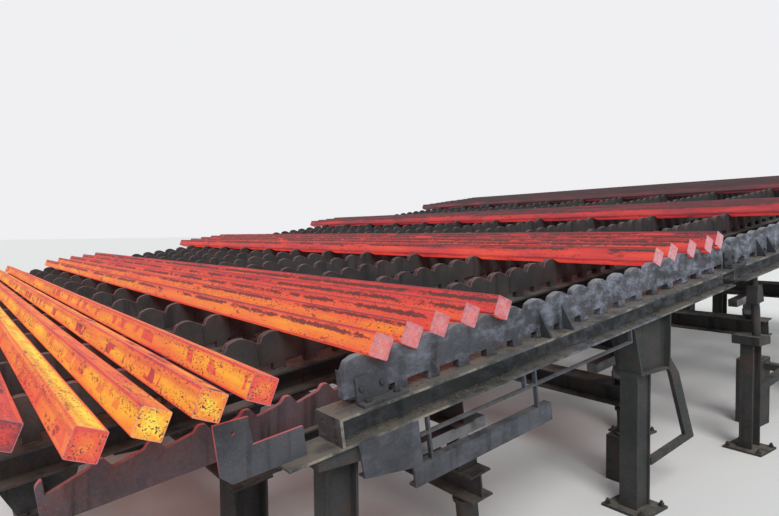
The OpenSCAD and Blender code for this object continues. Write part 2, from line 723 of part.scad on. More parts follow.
// A billet lies with one corner down in a seat. The near ends of the hottest group line up, the others are staggered.
module billet_section() {
    s = billet;
    r = billet_r;
    union() {
        translate([r, 0]) square([s - 2 * r, s]);
        translate([0, r]) square([s, s - 2 * r]);
        for (x = [r, s - r]) for (y = [r, s - r]) translate([x, y]) circle(r = r, $fn = 32);
    }
}
module billets(first, count) {
    for (k = [first:first + count - 1]) {
        back = k == 0 ? first_back : k < 5 ? 0 : stagger * (0.5 + 0.5 * cos((k - 9.3) * 70));
        translate([k * pitch, 0, seat - seat_depth])
            across(back - (k < 5 ? hot_overhang : overhang), billet_l - (k == 0 ? first_back : 0) - stagger)
                rotate(90 - seat_angle) billet_section();
    }
}
module orange_billets() {
    color([0.98, 0.62, 0.33]) bed() billets(0, 5);
}
module scarlet_billets() {
    color([0.95, 0.38, 0.26]) bed() billets(7, 5);
}
module red_billets() {
    color([0.85, 0.25, 0.25]) bed() billets(19, 5);
}
module dull_billets() {
    color([0.6, 0.2, 0.22]) bed() billets(34, 4);
}
module dark_billets() {
    color([0.36, 0.2, 0.24]) bed() billets(51, 10);
}

for (i = [1:12]) fixed_rake(i - 1);
for (i = [1:11]) walking_rake(i - 1);
front_beams();
inner_beams();
beam_stools();
cross_girders();
columns();
base_plates();
front_supports();
front_trestles();
lower_beam();
front_ties();
gusset_plates();
clamp_plates();
entry_plate();
walking_beams();
walking_girders();
runner_shoes();
roller_brackets();
rollers();
lift_girders();
lift_rods();
lift_cylinders();
cylinder_pedestals();
orange_billets();
scarlet_billets();
red_billets();
dull_billets();
dark_billets();
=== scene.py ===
"""Looks of an inclined walking beam cooling bed that carries hot square billets."""

import json
import math

import bpy
import numpy as np
from mathutils import Matrix, Vector


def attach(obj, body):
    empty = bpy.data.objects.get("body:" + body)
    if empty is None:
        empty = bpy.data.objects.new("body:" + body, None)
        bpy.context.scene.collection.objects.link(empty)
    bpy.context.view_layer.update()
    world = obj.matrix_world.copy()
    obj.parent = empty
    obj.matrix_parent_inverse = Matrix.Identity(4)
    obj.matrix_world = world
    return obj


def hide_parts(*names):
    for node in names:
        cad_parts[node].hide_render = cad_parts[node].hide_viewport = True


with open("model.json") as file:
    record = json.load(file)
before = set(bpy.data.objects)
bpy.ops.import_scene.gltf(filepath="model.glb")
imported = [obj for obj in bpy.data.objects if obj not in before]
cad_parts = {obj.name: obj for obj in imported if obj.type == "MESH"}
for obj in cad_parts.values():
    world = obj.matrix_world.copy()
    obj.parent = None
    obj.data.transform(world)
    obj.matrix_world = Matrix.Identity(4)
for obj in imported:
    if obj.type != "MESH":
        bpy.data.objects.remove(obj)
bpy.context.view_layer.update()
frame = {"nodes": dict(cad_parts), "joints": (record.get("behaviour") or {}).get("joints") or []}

bl_info = {
    "name": "Cooling bed looks",
    "version": (1, 0, 0),
    "blender": (4, 5, 0),
    "location": "3D View > Sidebar > Cooling bed",
    "description": "Builds the detailed pieces and finishes of a walking beam cooling bed",
    "category": "Object",
}

NODES = frame["nodes"]

# The joints give the bed's axes: u up the slope, v along the billets and n square to the bed
TRAVEL = {joint["name"]: np.array(joint["axis"]) for joint in frame["joints"]}
AXIS_U = TRAVEL["walk"]
AXIS_V = np.array([0.0, 1.0, 0.0])
AXIS_N = TRAVEL["lift"]


def number(name, description, default, **options):
    """A size in metres for a property group."""
    return bpy.props.FloatProperty(name=name, description=description, default=default, precision=4,
                                   unit="LENGTH", **options)


def whole(name, description, default):
    """A count for a property group."""
    return bpy.props.IntProperty(name=name, description=description, default=default, min=1)


def colour(name, description, default):
    """A colour for a property group, as the eye sees it on a screen."""
    return bpy.props.FloatVectorProperty(name=name, description=description, default=default, size=3,
                                         subtype="COLOR_GAMMA", min=0, max=1)


class BedSizes(bpy.types.PropertyGroup):
    """Where the bed stands and how its rows and seats repeat."""
    corner: bpy.props.FloatVectorProperty(
        name="Corner", description="Crest line of row 1 at the first seat of the inner rows",
        default=(-8.529978, -6.845, 1.62), size=3, subtype="XYZ", unit="LENGTH")
    pitch: number("Pitch", "Distance from one billet seat to the next", 0.279)
    row_pitch: number("Row pitch", "Distance from one row of fixed rakes to the next", 1.17)
    rows: whole("Rows", "Rows of fixed rakes", 12)
    bays: whole("Bays", "Lengths of beam in a row", 3)
    bay_teeth: whole("Bay seats", "Billet seats in one bay", 19)
    entry_teeth: whole("Entry seats", "Seats ahead of the first bay", 6)
    end_teeth: whole("End seats", "Seats that the last bay is shorter by", 2)


class RakeSizes(bpy.types.PropertyGroup):
    """The outline of the fixed and the walking rakes."""
    thickness: number("Thickness", "Thickness of a fixed rake", 0.062)
    seat_depth: number("Seat depth", "Depth of a seat below the crests", 0.075)
    seat_angle: bpy.props.FloatProperty(name="Seat angle", description="Slope of the long side of a seat",
                                        default=math.radians(30), subtype="ANGLE")
    flank: number("Flank", "Height of the steep side of a seat", 0.053)
    crest: number("Crest", "Length of a crest", 0.059)
    height: number("Height", "Height of a rake from its feet to its crests", 0.305)
    foot: number("Foot", "Width of a foot", 0.101)
    slot: number("Slot", "Height of the slots between the feet", 0.059)
    foot_start: number("Foot start", "Start of a foot beyond the seat", 0.088)
    lead: number("Lead", "Rake ahead of its first seat", 0.022)
    gap: number("Gap", "Gap between two lengths of rake", 0.003)
    edge: number("Edge", "Worn edge of a plate", 0.0025)
    walk_thickness: number("Walking thickness", "Thickness of a walking rake", 0.038)
    walk_height: number("Walking height", "Height of a walking rake", 0.250)
    walk_drop: number("Walking drop", "Crests of a lowered walking rake below the fixed ones", 0.255)
    walk_across: number("Walking place", "Distance of a walking rake behind its row", 0.395)
    walk_start: number("Walking start", "Start of a walking rake", 0.064)
    walk_seat: number("Walking seat", "First seat of a walking rake", 0.100)
    walk_depth: number("Walking depth", "Depth of a walking seat", 0.066)
    walk_rise: number("Walking rise", "Rise of the long slope in a walking seat", 0.033)
    walk_slope: number("Walking slope", "Length of that slope", 0.165)
    walk_riser: number("Walking riser", "Run of the steeper rise up to a walking crest", 0.035)
    walk_crest: number("Walking crest", "Length of a walking crest", 0.038)
    walk_first: number("Walking first", "Extra length of the first walking seat", 0.052)


class BeamSizes(bpy.types.PropertyGroup):
    """The beams, supports and lifting gear that the small pieces sit on."""
    height: number("Beam height", "Height of the beam under a rake", 0.190)
    width: number("Beam width", "Width of its flanges", 0.275)
    flange: number("Flange", "Thickness of its flanges", 0.016)
    web: number("Web", "Thickness of its web", 0.012)
    lead: number("Beam lead", "Beam ahead of the first seat of its bay", 0.130)
    gap: number("Beam gap", "Gap between two lengths of beam", 0.270)
    clamp_plate: number("Clamp plate", "Length of a clamp plate", 0.340)
    cleat: number("Cleat", "Height of the cleats on the clamp plates", 0.175)
    cleat_length: number("Cleat length", "Length of a cleat", 0.240)
    plate: number("Plate", "Thickness of the small plates", 0.020)
    stool: number("Stool", "Length of a stool under the beam joints", 0.460)
    entry_support: number("Entry support", "First support of the inner rows", 0.140)
    girder_gap: number("Girder gap", "Gap between the walking beams and the fixed girders", 0.050)
    girder_plate: number("Girder plate", "Thickness of the plates of girders, columns and stools", 0.018)
    walk_beam: number("Walking beam", "Height of the beam under a walking rake", 0.180)
    walk_girder: number("Walking girder", "Height of a walking girder", 0.240)
    girder_at: number("Girder place", "First walking girder of a bay", 1.500)
    girder_step: number("Girder step", "Distance between the walking girders of a bay", 2.300)
    shoe: number("Shoe", "Height of a runner shoe", 0.090)
    roller: number("Roller", "Diameter of a roller", 0.240)
    roller_width: number("Roller width", "Width of a roller", 0.090)
    axle: number("Axle", "Diameter of a roller's axle", 0.060)
    cheek: number("Cheek", "Thickness of a roller's cheek plates", 0.025)
    roller_gap: number("Roller gap", "Gap between a roller and its girder", 0.025)
    lift_girder: number("Lift girder", "Height of a lift girder", 0.220)
    rod_free: number("Rod", "Rod between the cylinder and the girder", 0.030)
    barrel: number("Cylinder", "Length of a lift cylinder", 0.290)
    barrel_width: number("Cylinder width", "Diameter of a lift cylinder", 0.180)
    rod: number("Rod width", "Diameter of its rod", 0.090)
    base_side: number("Base side", "Side of a base plate", 0.420)
    base_plate: number("Base plate", "Thickness of a base plate", 0.025)
    anchor_step: number("Anchor step", "Distance between two anchors", 0.340)


class BilletSizes(bpy.types.PropertyGroup):
    """The load."""
    side: number("Side", "Side of a billet", 0.150)
    radius: number("Corner", "Corner radius of a billet", 0.009)
    length: number("Length", "Length of a billet with the stagger", 14.0)
    overhang: number("Overhang", "Overhang in front of the first row", 0.100)
    hot_overhang: number("Hot overhang", "Overhang of the hottest group", 0.190)
    stagger: number("Stagger", "Largest stagger of the ends", 0.090)
    seat: number("Seat", "Play between a billet and its seat", 0.0003)
    first_back: number("First back", "First billet behind the others", 0.530)


class SteelColours(bpy.types.PropertyGroup):
    """Colours of the cold steel."""
    rake: colour("Rake", "Dusty blue grey of the front rake", (0.25, 0.26, 0.285))
    inner: colour("Inner rake", "Grimy grey of the other rakes", (0.22, 0.215, 0.215))
    walking: colour("Walking rake", "Purple brown of the walking rakes", (0.32, 0.27, 0.29))
    beam: colour("Beam", "Dark grey green of the beams", (0.22, 0.23, 0.23))
    frame: colour("Frame", "Grimy dark of columns and girders", (0.195, 0.195, 0.195))
    glow: colour("Glow", "Red light of the billets on the edges near them", (0.86, 0.40, 0.42))
    rust: colour("Rust", "Thin rust", (0.30, 0.19, 0.13))
    dust: colour("Dust", "Scale dust on what faces up", (0.42, 0.40, 0.36))
    # Worn bright steel on the crests, and also the colour of the painted highlight along the beams' flange edges
    bright: colour("Bright", "Steel rubbed bright", (0.66, 0.66, 0.66))
    frost: colour("Frost", "Blue white film on the cold steel", (0.56, 0.58, 0.64))
    soot: colour("Soot", "Oily dirt", (0.07, 0.07, 0.075))
    stain: colour("Stain", "Warm stain of the walking rakes", (0.42, 0.16, 0.17))
    bolt: colour("Bolt", "Black bolts and nuts", (0.24, 0.23, 0.23))
    weld: colour("Weld", "Weld beads", (0.30, 0.28, 0.27))
    flake: colour("Flake", "Scale that fell from the billets", (0.34, 0.31, 0.29))
    turned: colour("Turned", "Turned rollers and shoes", (0.55, 0.55, 0.56))
    ground: colour("Ground", "Ground rods", (0.75, 0.76, 0.78))


class HeatColours(bpy.types.PropertyGroup):
    """Colours of hot steel, from cold scale to yellow."""
    scale: colour("Scale", "Cold scale", (0.13, 0.085, 0.09))
    maroon: colour("Maroon", "Almost cold", (0.33, 0.13, 0.17))
    crimson: colour("Crimson", "Dull red heat", (0.62, 0.15, 0.19))
    red: colour("Red", "Red heat", (0.84, 0.24, 0.21))
    scarlet: colour("Scarlet", "Bright red heat", (0.91, 0.35, 0.22))
    orange: colour("Orange", "Orange heat", (0.94, 0.50, 0.17))
    amber: colour("Amber", "Deep yellow heat", (0.97, 0.67, 0.16))
    yellow: colour("Yellow", "Yellow heat", (0.99, 0.86, 0.26))
    # Daylight on the cut ends, which is painted into their glow
    chalk: colour("Chalk", "Pale cut ends under daylight", (0.80, 0.64, 0.68))
    crust: colour("Crust", "Brown scale that still sticks to the hot steel", (0.29, 0.13, 0.10))
    clean: colour("Clean", "Body of a billet that has no scale", (0.20, 0.16, 0.16))
    burnt: colour("Burnt", "Body of a billet under its scale", (0.10, 0.05, 0.04))


class StageLook(bpy.types.PropertyGroup):
    """Floor, light and camera."""
    floor: colour("Floor", "Pale floor", (0.86, 0.86, 0.85))
    key: bpy.props.FloatProperty(name="Key light", description="Strength of the sun lamp", default=2.2, min=0)
    fill: bpy.props.FloatProperty(name="Fill light", description="Strength of the pale surroundings",
                                  default=0.65, min=0)
    lens: bpy.props.FloatProperty(name="Lens", description="Focal length", default=27.70, unit="CAMERA")
    eye: bpy.props.FloatVectorProperty(name="Eye", description="Camera place from the bed's corner",
                                       default=(-0.233422, -3.036, 0.9781), size=3, unit="LENGTH")


# ---- surfaces ----

# What marks a hexagonal ring of a fastener, and how deep its foot goes into the face it sits on, in metres
HEX = "hex"
SUNK = 0.001


def bed_points(u, v, n):
    """Points of the part's frame: the bed's corner, plus u up the slope, v across it, n square to it."""
    u, v, n = np.broadcast_arrays(u, v, n)
    corner = np.array(bpy.context.scene.bed_sizes.corner)
    return corner + u[..., None] * AXIS_U + v[..., None] * AXIS_V + n[..., None] * AXIS_N


def grid_faces(rows, columns, wrap=True):
    """Four-cornered faces between neighbours on a grid of rows and columns, whose columns may close on themselves."""
    index = np.arange(rows * columns).reshape(rows, columns)
    if wrap:
        index = np.hstack([index, index[:, :1]])
    quads = np.stack([index[:-1, :-1], index[:-1, 1:], index[1:, 1:], index[1:, :-1]], -1)
    return quads.reshape(-1, 4)


def tube_faces(rows, columns):
    """A grid closed on itself along its columns, with a many-sided face at each end."""
    index = np.arange(rows * columns).reshape(rows, columns)
    return [grid_faces(rows, columns), index[:1, ::-1], index[-1:]]


def ring_faces(rows, columns):
    """A grid closed on itself both ways: its last row is joined to its first."""
    near = np.arange(columns)
    ahead, back = (near + 1) % columns, columns * (rows - 1)
    return [grid_faces(rows, columns), np.stack([near + back, ahead + back, ahead, near], 1)]


class Shell:
    """Collects closed surfaces as whole arrays and makes one piece of them."""

    def __init__(self):
        self.points, self.faces, self.values, self.count = [], [], [], 0

    def add(self, points, faces, values=None):
        """Adds copies of one closed surface: points is (copies, points, 3), and faces are arrays of corners."""
        copies, size = points.shape[:2]
        first = points[0] - points[0].mean(0)
        volume = 0.0
        for group in faces:
            fan = first[group]
            turned = np.cross(fan[:, 1:-1], fan[:, 2:])
            volume += (fan[:, :1] * turned).sum()
        shift = self.count + size * np.arange(copies)
        for group in faces:
            group = group if volume > 0 else group[:, ::-1]
            self.faces.append((shift[:, None, None] + group).reshape(-1, group.shape[1]))
        self.points.append(points.reshape(-1, 3))
        if values is not None:
            self.values.append(values.reshape(-1, 4))
        self.count += copies * size

    def make(self, name, finish, body, slot, replaced=None, smooth=False):
        """The mesh object, with its place in its mesh, riding on a body, in place of a node where one is named."""
        points = np.concatenate(self.points)
        sizes = np.concatenate([np.full(len(group), group.shape[1]) for group in self.faces])
        corners = np.concatenate([group.ravel() for group in self.faces])
        mesh = bpy.data.meshes.new(name)
        mesh.vertices.add(len(points))
        mesh.vertices.foreach_set("co", points.astype(np.float32).ravel())
        mesh.loops.add(len(corners))
        mesh.loops.foreach_set("vertex_index", corners.astype(np.int32))
        mesh.polygons.add(len(sizes))
        mesh.polygons.foreach_set("loop_start", np.concatenate([[0], np.cumsum(sizes)[:-1]]).astype(np.int32))
        mesh.polygons.foreach_set("use_smooth", np.full(len(sizes), smooth))
        mesh.update(calc_edges=True)
        mesh.validate()
        if self.values:
            heat = mesh.attributes.new("billet_heat", "FLOAT_COLOR", "POINT")
            heat.data.foreach_set("color", np.concatenate(self.values).astype(np.float32).ravel())
        mesh.materials.append(finish_of(finish))
        piece = bpy.data.objects.new(name, mesh)
        bpy.context.scene.collection.objects.link(piece)
        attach(piece, body)
        if replaced:
            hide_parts(replaced)


def inset(outline, distance):
    """The closed outline moved inwards: a corner slides by the sum of its sides' normals over 1 + their product."""
    ahead = np.roll(outline, -1, axis=0) - outline
    ahead /= np.linalg.norm(ahead, axis=1, keepdims=True)
    normal = np.stack([-ahead[:, 1], ahead[:, 0]], 1)
    before = np.roll(normal, 1, axis=0)
    return outline + distance * (normal + before) / (1 + (normal * before).sum(1, keepdims=True))


def soften(outline, radius, steps):
    """Each corner C becomes the curve (1-t)^2 A + 2t(1-t) C + t^2 B, with A and B a radius away on its two sides."""
    back = np.roll(outline, 1, axis=0) - outline
    ahead = np.roll(outline, -1, axis=0) - outline
    long_back = np.linalg.norm(back, axis=1)
    long_ahead = np.linalg.norm(ahead, axis=1)
    reach = np.minimum(radius, 0.4 * np.minimum(long_back, long_ahead))
    a = outline + back * (reach / long_back)[:, None]
    b = outline + ahead * (reach / long_ahead)[:, None]
    t = np.linspace(0, 1, steps)[None, :, None]
    curve = (1 - t) ** 2 * a[:, None] + 2 * t * (1 - t) * outline[:, None] + t ** 2 * b[:, None]
    return curve.reshape(-1, 2)


def add_plate(shell, outline, across, thickness, edge, bands=1):
    """A plate: its outline in u and n carried across the bed, drawn in by a quarter circle at both faces."""
    turn = np.linspace(0, math.pi / 2, bands + 1)
    near = edge * (1 - np.sin(turn))
    drawn = edge * (1 - np.cos(turn))[::-1]
    depths = np.concatenate([near[::-1], thickness - near])
    insets = np.concatenate([drawn, drawn[::-1]])
    rings = np.stack([inset(outline, d) for d in insets])
    points = bed_points(rings[..., 0], across - thickness / 2 + depths[:, None], rings[..., 1])
    shell.add(points.reshape(1, -1, 3), tube_faces(len(depths), len(outline)))


def hashed(seed, *shape):
    """Even random numbers from 0 to 1, the same on every run."""
    return np.random.default_rng(seed).random(shape)


# ---- finishes ----

class Value:
    """A number that changes over a surface; working with it adds Math nodes."""

    def __init__(self, tree, socket):
        self.tree, self.socket = tree, socket

    def math(self, operation, *values):
        """One Math node of that operation."""
        return self.tree.node("ShaderNodeMath", {"operation": operation}, dict(enumerate(values)))

    def __add__(self, other):
        return self.math("ADD", self, other)

    def __sub__(self, other):
        return self.math("SUBTRACT", self, other)

    def __rsub__(self, other):
        return self.math("SUBTRACT", other, self)

    def __mul__(self, other):
        return self.math("MULTIPLY", self, other)

    def __mod__(self, other):
        return self.math("FLOORED_MODULO", self, other)

    def __abs__(self):
        return self.math("ABSOLUTE", self)

    __radd__ = __add__
    __rmul__ = __mul__

    def larger(self, other):
        """The larger of two values."""
        return self.math("MAXIMUM", self, other)


def linear(rgb):
    """Screen colour to the light that it stands for."""
    rgb = np.array(rgb, float)
    return tuple(np.where(rgb <= 0.04045, rgb / 12.92, ((rgb + 0.055) / 1.055) ** 2.4)) + (1.0,)


class Tree:
    """A tree of shader nodes."""

    def __init__(self, owner):
        owner.use_nodes = True
        self.nodes, self.links = owner.node_tree.nodes, owner.node_tree.links

    def node(self, kind, settings=None, inputs=None, output=0):
        """Adds a node: its settings first, then the values or links of its sockets."""
        node = self.nodes.new(kind)
        for key, value in (settings or {}).items():
            if key == "stops":
                ramp = node.color_ramp.elements
                while len(ramp) < len(value):
                    ramp.new(1.0)
                for element, (place, tone) in zip(ramp, value):
                    element.position, element.color = place, tone
            else:
                setattr(node, key, value)
        for key, value in (inputs or {}).items():
            self.feed(node.inputs[key], value)
        return Value(self, node.outputs[output])

    def feed(self, socket, value):
        """Links a varying value to a socket, or sets a plain one on it."""
        if isinstance(value, Value):
            self.links.new(value.socket, socket)
        else:
            socket.default_value = value


class Finish(Tree):
    """One material, its shader and what feeds it."""

    def __init__(self, name, **constants):
        self.material = bpy.data.materials.new(name)
        super().__init__(self.material)
        self.shader = self.nodes["Principled BSDF"]
        for socket, value in constants.items():
            self.shader.inputs[socket.replace("_", " ")].default_value = value

    def place(self):
        """The point in the piece's own frame."""
        return self.node("ShaderNodeTexCoord", output="Object")

    def stretch(self, vector, scale):
        """The point with its axes scaled apart."""
        return self.node("ShaderNodeMapping", inputs={"Vector": vector, "Scale": scale})

    def shift(self, vector, by):
        """The point moved by a varying amount along every axis."""
        return self.node("ShaderNodeVectorMath", {"operation": "ADD"}, {0: vector, 1: by})

    def noise(self, vector, scale, detail=3.0, roughness=0.55):
        """Cloudy noise from 0 to 1."""
        return self.node("ShaderNodeTexNoise", {"noise_dimensions": "3D"},
                         {"Vector": vector, "Scale": scale, "Detail": detail, "Roughness": roughness})

    def drawn(self, vector, share, scale, detail, roughness, across=1.0):
        """Noise that is drawn out along the billets: their way counts by a share, the other two by another."""
        return self.noise(self.stretch(vector, (across, share, across)), scale, detail, roughness)

    def step(self, value, low, high, to_low=0.0, to_high=1.0):
        """A smooth step of a value between two bounds."""
        return self.node("ShaderNodeMapRange", {"interpolation_type": "SMOOTHSTEP"},
                         {"Value": value, "From Min": low, "From Max": high, "To Min": to_low, "To Max": to_high})

    def mix(self, factor, first, second):
        """A colour between two colours."""
        return self.node("ShaderNodeMix", {"data_type": "RGBA"}, {"Factor": factor, 6: first, 7: second}, output=2)

    def coat(self, amount, tone):
        """Lays an amount of a screen colour over the finish so far."""
        self.surface = self.mix(amount, self.surface, linear(tone))

    def along(self, vector, axis):
        """How far a point lies along a bed axis, from the bed's corner."""
        corner = np.array(bpy.context.scene.bed_sizes.corner)
        reach = self.node("ShaderNodeVectorMath", {"operation": "DOT_PRODUCT"},
                          {0: vector, 1: tuple(axis)}, output="Value")
        return reach - float(corner @ axis)

    def from_row(self, vector, middle=0.0):
        """How far a point lies across the bed from the nearest row, where the first row stands at that middle."""
        pitch = bpy.context.scene.bed_sizes.row_pitch
        across = self.along(vector, AXIS_V)
        if middle:
            across = across - middle
        return abs((across + pitch / 2) % pitch - pitch / 2)

    def facing(self, axis):
        """How far the surface faces along an axis, from -1 to 1."""
        normal = self.node("ShaderNodeNewGeometry", output="Normal")
        return self.node("ShaderNodeVectorMath", {"operation": "DOT_PRODUCT"},
                         {0: normal, 1: tuple(axis)}, output="Value")

    def bump(self, height, depth, strength=1.0):
        """A normal that follows a height in metres times depth."""
        bumped = self.node("ShaderNodeBump", inputs={"Height": height, "Distance": depth, "Strength": strength})
        self.feed(self.shader.inputs["Normal"], bumped)

    def finish(self, **links):
        """Feeds the shader's sockets and gives the material."""
        for socket, value in links.items():
            self.feed(self.shader.inputs[socket.replace("_", " ")], value)
        return self.material


# How the painted highlight along a flange edge tints the bright steel, and how strongly the rims beside the load glow
EDGE_HIGHLIGHT_TINT = (1.0, 0.95, 0.86)
LIT_STRENGTH = 0.18


def steel(name, tone, rust, dust=0.3, specks=0.5, rough=0.72, metal=0.1, crest=None, edge=0.0, warm=0.0,
          smears=0.0, frost=1.0, lit=None):
    """Old mill steel: cloudy tone, thin rust, pale specks, dust on what faces up, rubbed crests and painted edge
    highlights.

    crest gives (depth, strength) of the rub under the crest line, edge how far inside the edges of the flanges a
    painted highlight runs along them, and smears the share of chalky patches, which grows by the factor frost up the
    slope. lit gives (whether the rakes are walking ones, reach, depth, strength) of the red light that the load casts
    on the rim of a plate near the crest line, within that reach of both its faces.
    """
    tones = bpy.context.scene.steel_colours
    make = Finish(name, Metallic=metal)
    place = make.place()
    cloud = make.noise(place, 1.1, 5.0, 0.6)
    patch = make.noise(place, 4.7, 6.0, 0.65)
    grain = make.noise(place, 38.0, 4.0, 0.7)
    base = np.array(linear(tone)[:3])
    dark, pale = (tuple(base * share) + (1.0,) for share in (0.62, 1.45))
    make.surface = make.mix(make.step(cloud * 0.6 + patch * 0.4, 0.34, 0.66), dark, pale)
    make.coat(make.step(patch + grain * 0.25, 0.62, 0.78) * rust, tones.rust)
    streaks = make.noise(make.stretch(place, (9.0, 9.0, 0.7)), 1.0, 4.0, 0.6)
    make.coat(make.step(streaks + cloud * 0.3, 0.66, 0.84) * 0.7, tones.soot)
    flecks = make.step(make.noise(place, 150.0, 2.0, 0.6), 0.64, 0.74) * specks
    make.coat(flecks, np.array(tones.dust) * 1.25)
    if smears:
        chalk = make.noise(make.stretch(place, (1.0, 1.0, 1.8)), 5.5, 7.0, 0.75) + (grain - 0.5) * 0.2
        amount = make.step(make.along(place, AXIS_U), 2.4, 4.4, 1.0, frost)
        make.coat(make.step(chalk + amount * 0.03, 0.47, 0.74) * amount * smears, tones.frost)
    make.coat(make.step(make.facing((0, 0, 1)), 0.55, 0.95) * make.step(patch, 0.3, 0.62) * dust, tones.dust)
    wear_and_highlight = None
    if crest:
        depth, strength = crest
        height = make.along(place, AXIS_N)
        wear_and_highlight = make.step(height + patch * 0.02, -depth, 0.01) * strength
        top = 1 - make.step(abs(make.facing(AXIS_V)), 0.3, 0.8)
        wear_and_highlight = wear_and_highlight * (top * 0.75 + 0.25)
        make.coat(wear_and_highlight, tones.bright)
    # A painted highlight: a bright line along the flange edges, broken up by noise; the crest rub above is wear
    if edge:
        half = bpy.context.scene.beam_sizes.width / 2
        wear_and_highlight = 1 - make.step(abs(make.from_row(place) - (half - edge)) + grain * 0.003, 0.001, 0.0045)
        wear_and_highlight = wear_and_highlight * make.step(patch + cloud * 0.4, 0.66, 0.88) * 0.8
        make.coat(wear_and_highlight, np.array(tones.bright) * EDGE_HIGHLIGHT_TINT)
    if warm:
        make.coat(make.step(patch, 0.45, 0.7) * warm, tones.stain)
    if lit:
        walking, reach, depth, strength = lit
        rake = bpy.context.scene.rake_sizes
        half = (rake.walk_thickness if walking else rake.thickness) / 2
        height = make.along(place, AXIS_N)
        flat = abs(make.facing(AXIS_V))
        rim = (1 - make.step(flat, 0.35, 0.9)) * make.step(height, -depth, -depth * 0.4)
        beside = make.from_row(place, rake.walk_across if walking else 0.0)
        rim = rim * make.step(beside + grain * reach * 0.3, half - reach, half - reach * 0.5)
        load = make.along(place, AXIS_U)
        rim = rim * (1 - make.step(load, 4.0, 11.0) * 0.9) * make.step(patch, 0.2, 0.5, 0.35, 1.0) * strength
        make.coat(rim, tones.glow)
    roughness = make.step(grain, 0.25, 0.75, rough - 0.12, rough + 0.2)
    if wear_and_highlight is not None:
        roughness = roughness - wear_and_highlight * 0.25
    make.bump(patch * 0.6 + grain * 0.25 + flecks * 0.3, 0.004, 0.7)
    if lit:
        make.finish(Emission_Strength=LIT_STRENGTH, Emission_Color=make.mix(rim, (0, 0, 0, 1), linear(tones.glow)))
    return make.finish(Base_Color=make.surface, Roughness=roughness)


def machined(name, tone, rough, grease):
    """Turned steel under a film of grease."""
    tones = bpy.context.scene.steel_colours
    make = Finish(name, Metallic=0.85)
    place = make.place()
    film = make.step(make.noise(place, 3.3, 5.0, 0.6), 0.42, 0.62) * grease
    rings = make.noise(make.stretch(place, (60.0, 4.0, 60.0)), 3.0, 3.0, 0.6)
    surface = make.mix(film, make.mix(rings, linear(np.array(tone) * 0.8), linear(tone)), linear(tones.soot))
    make.bump(rings, 0.0006)
    return make.finish(Base_Color=surface, Roughness=film * 0.25 + (rough + rings * 0.08))


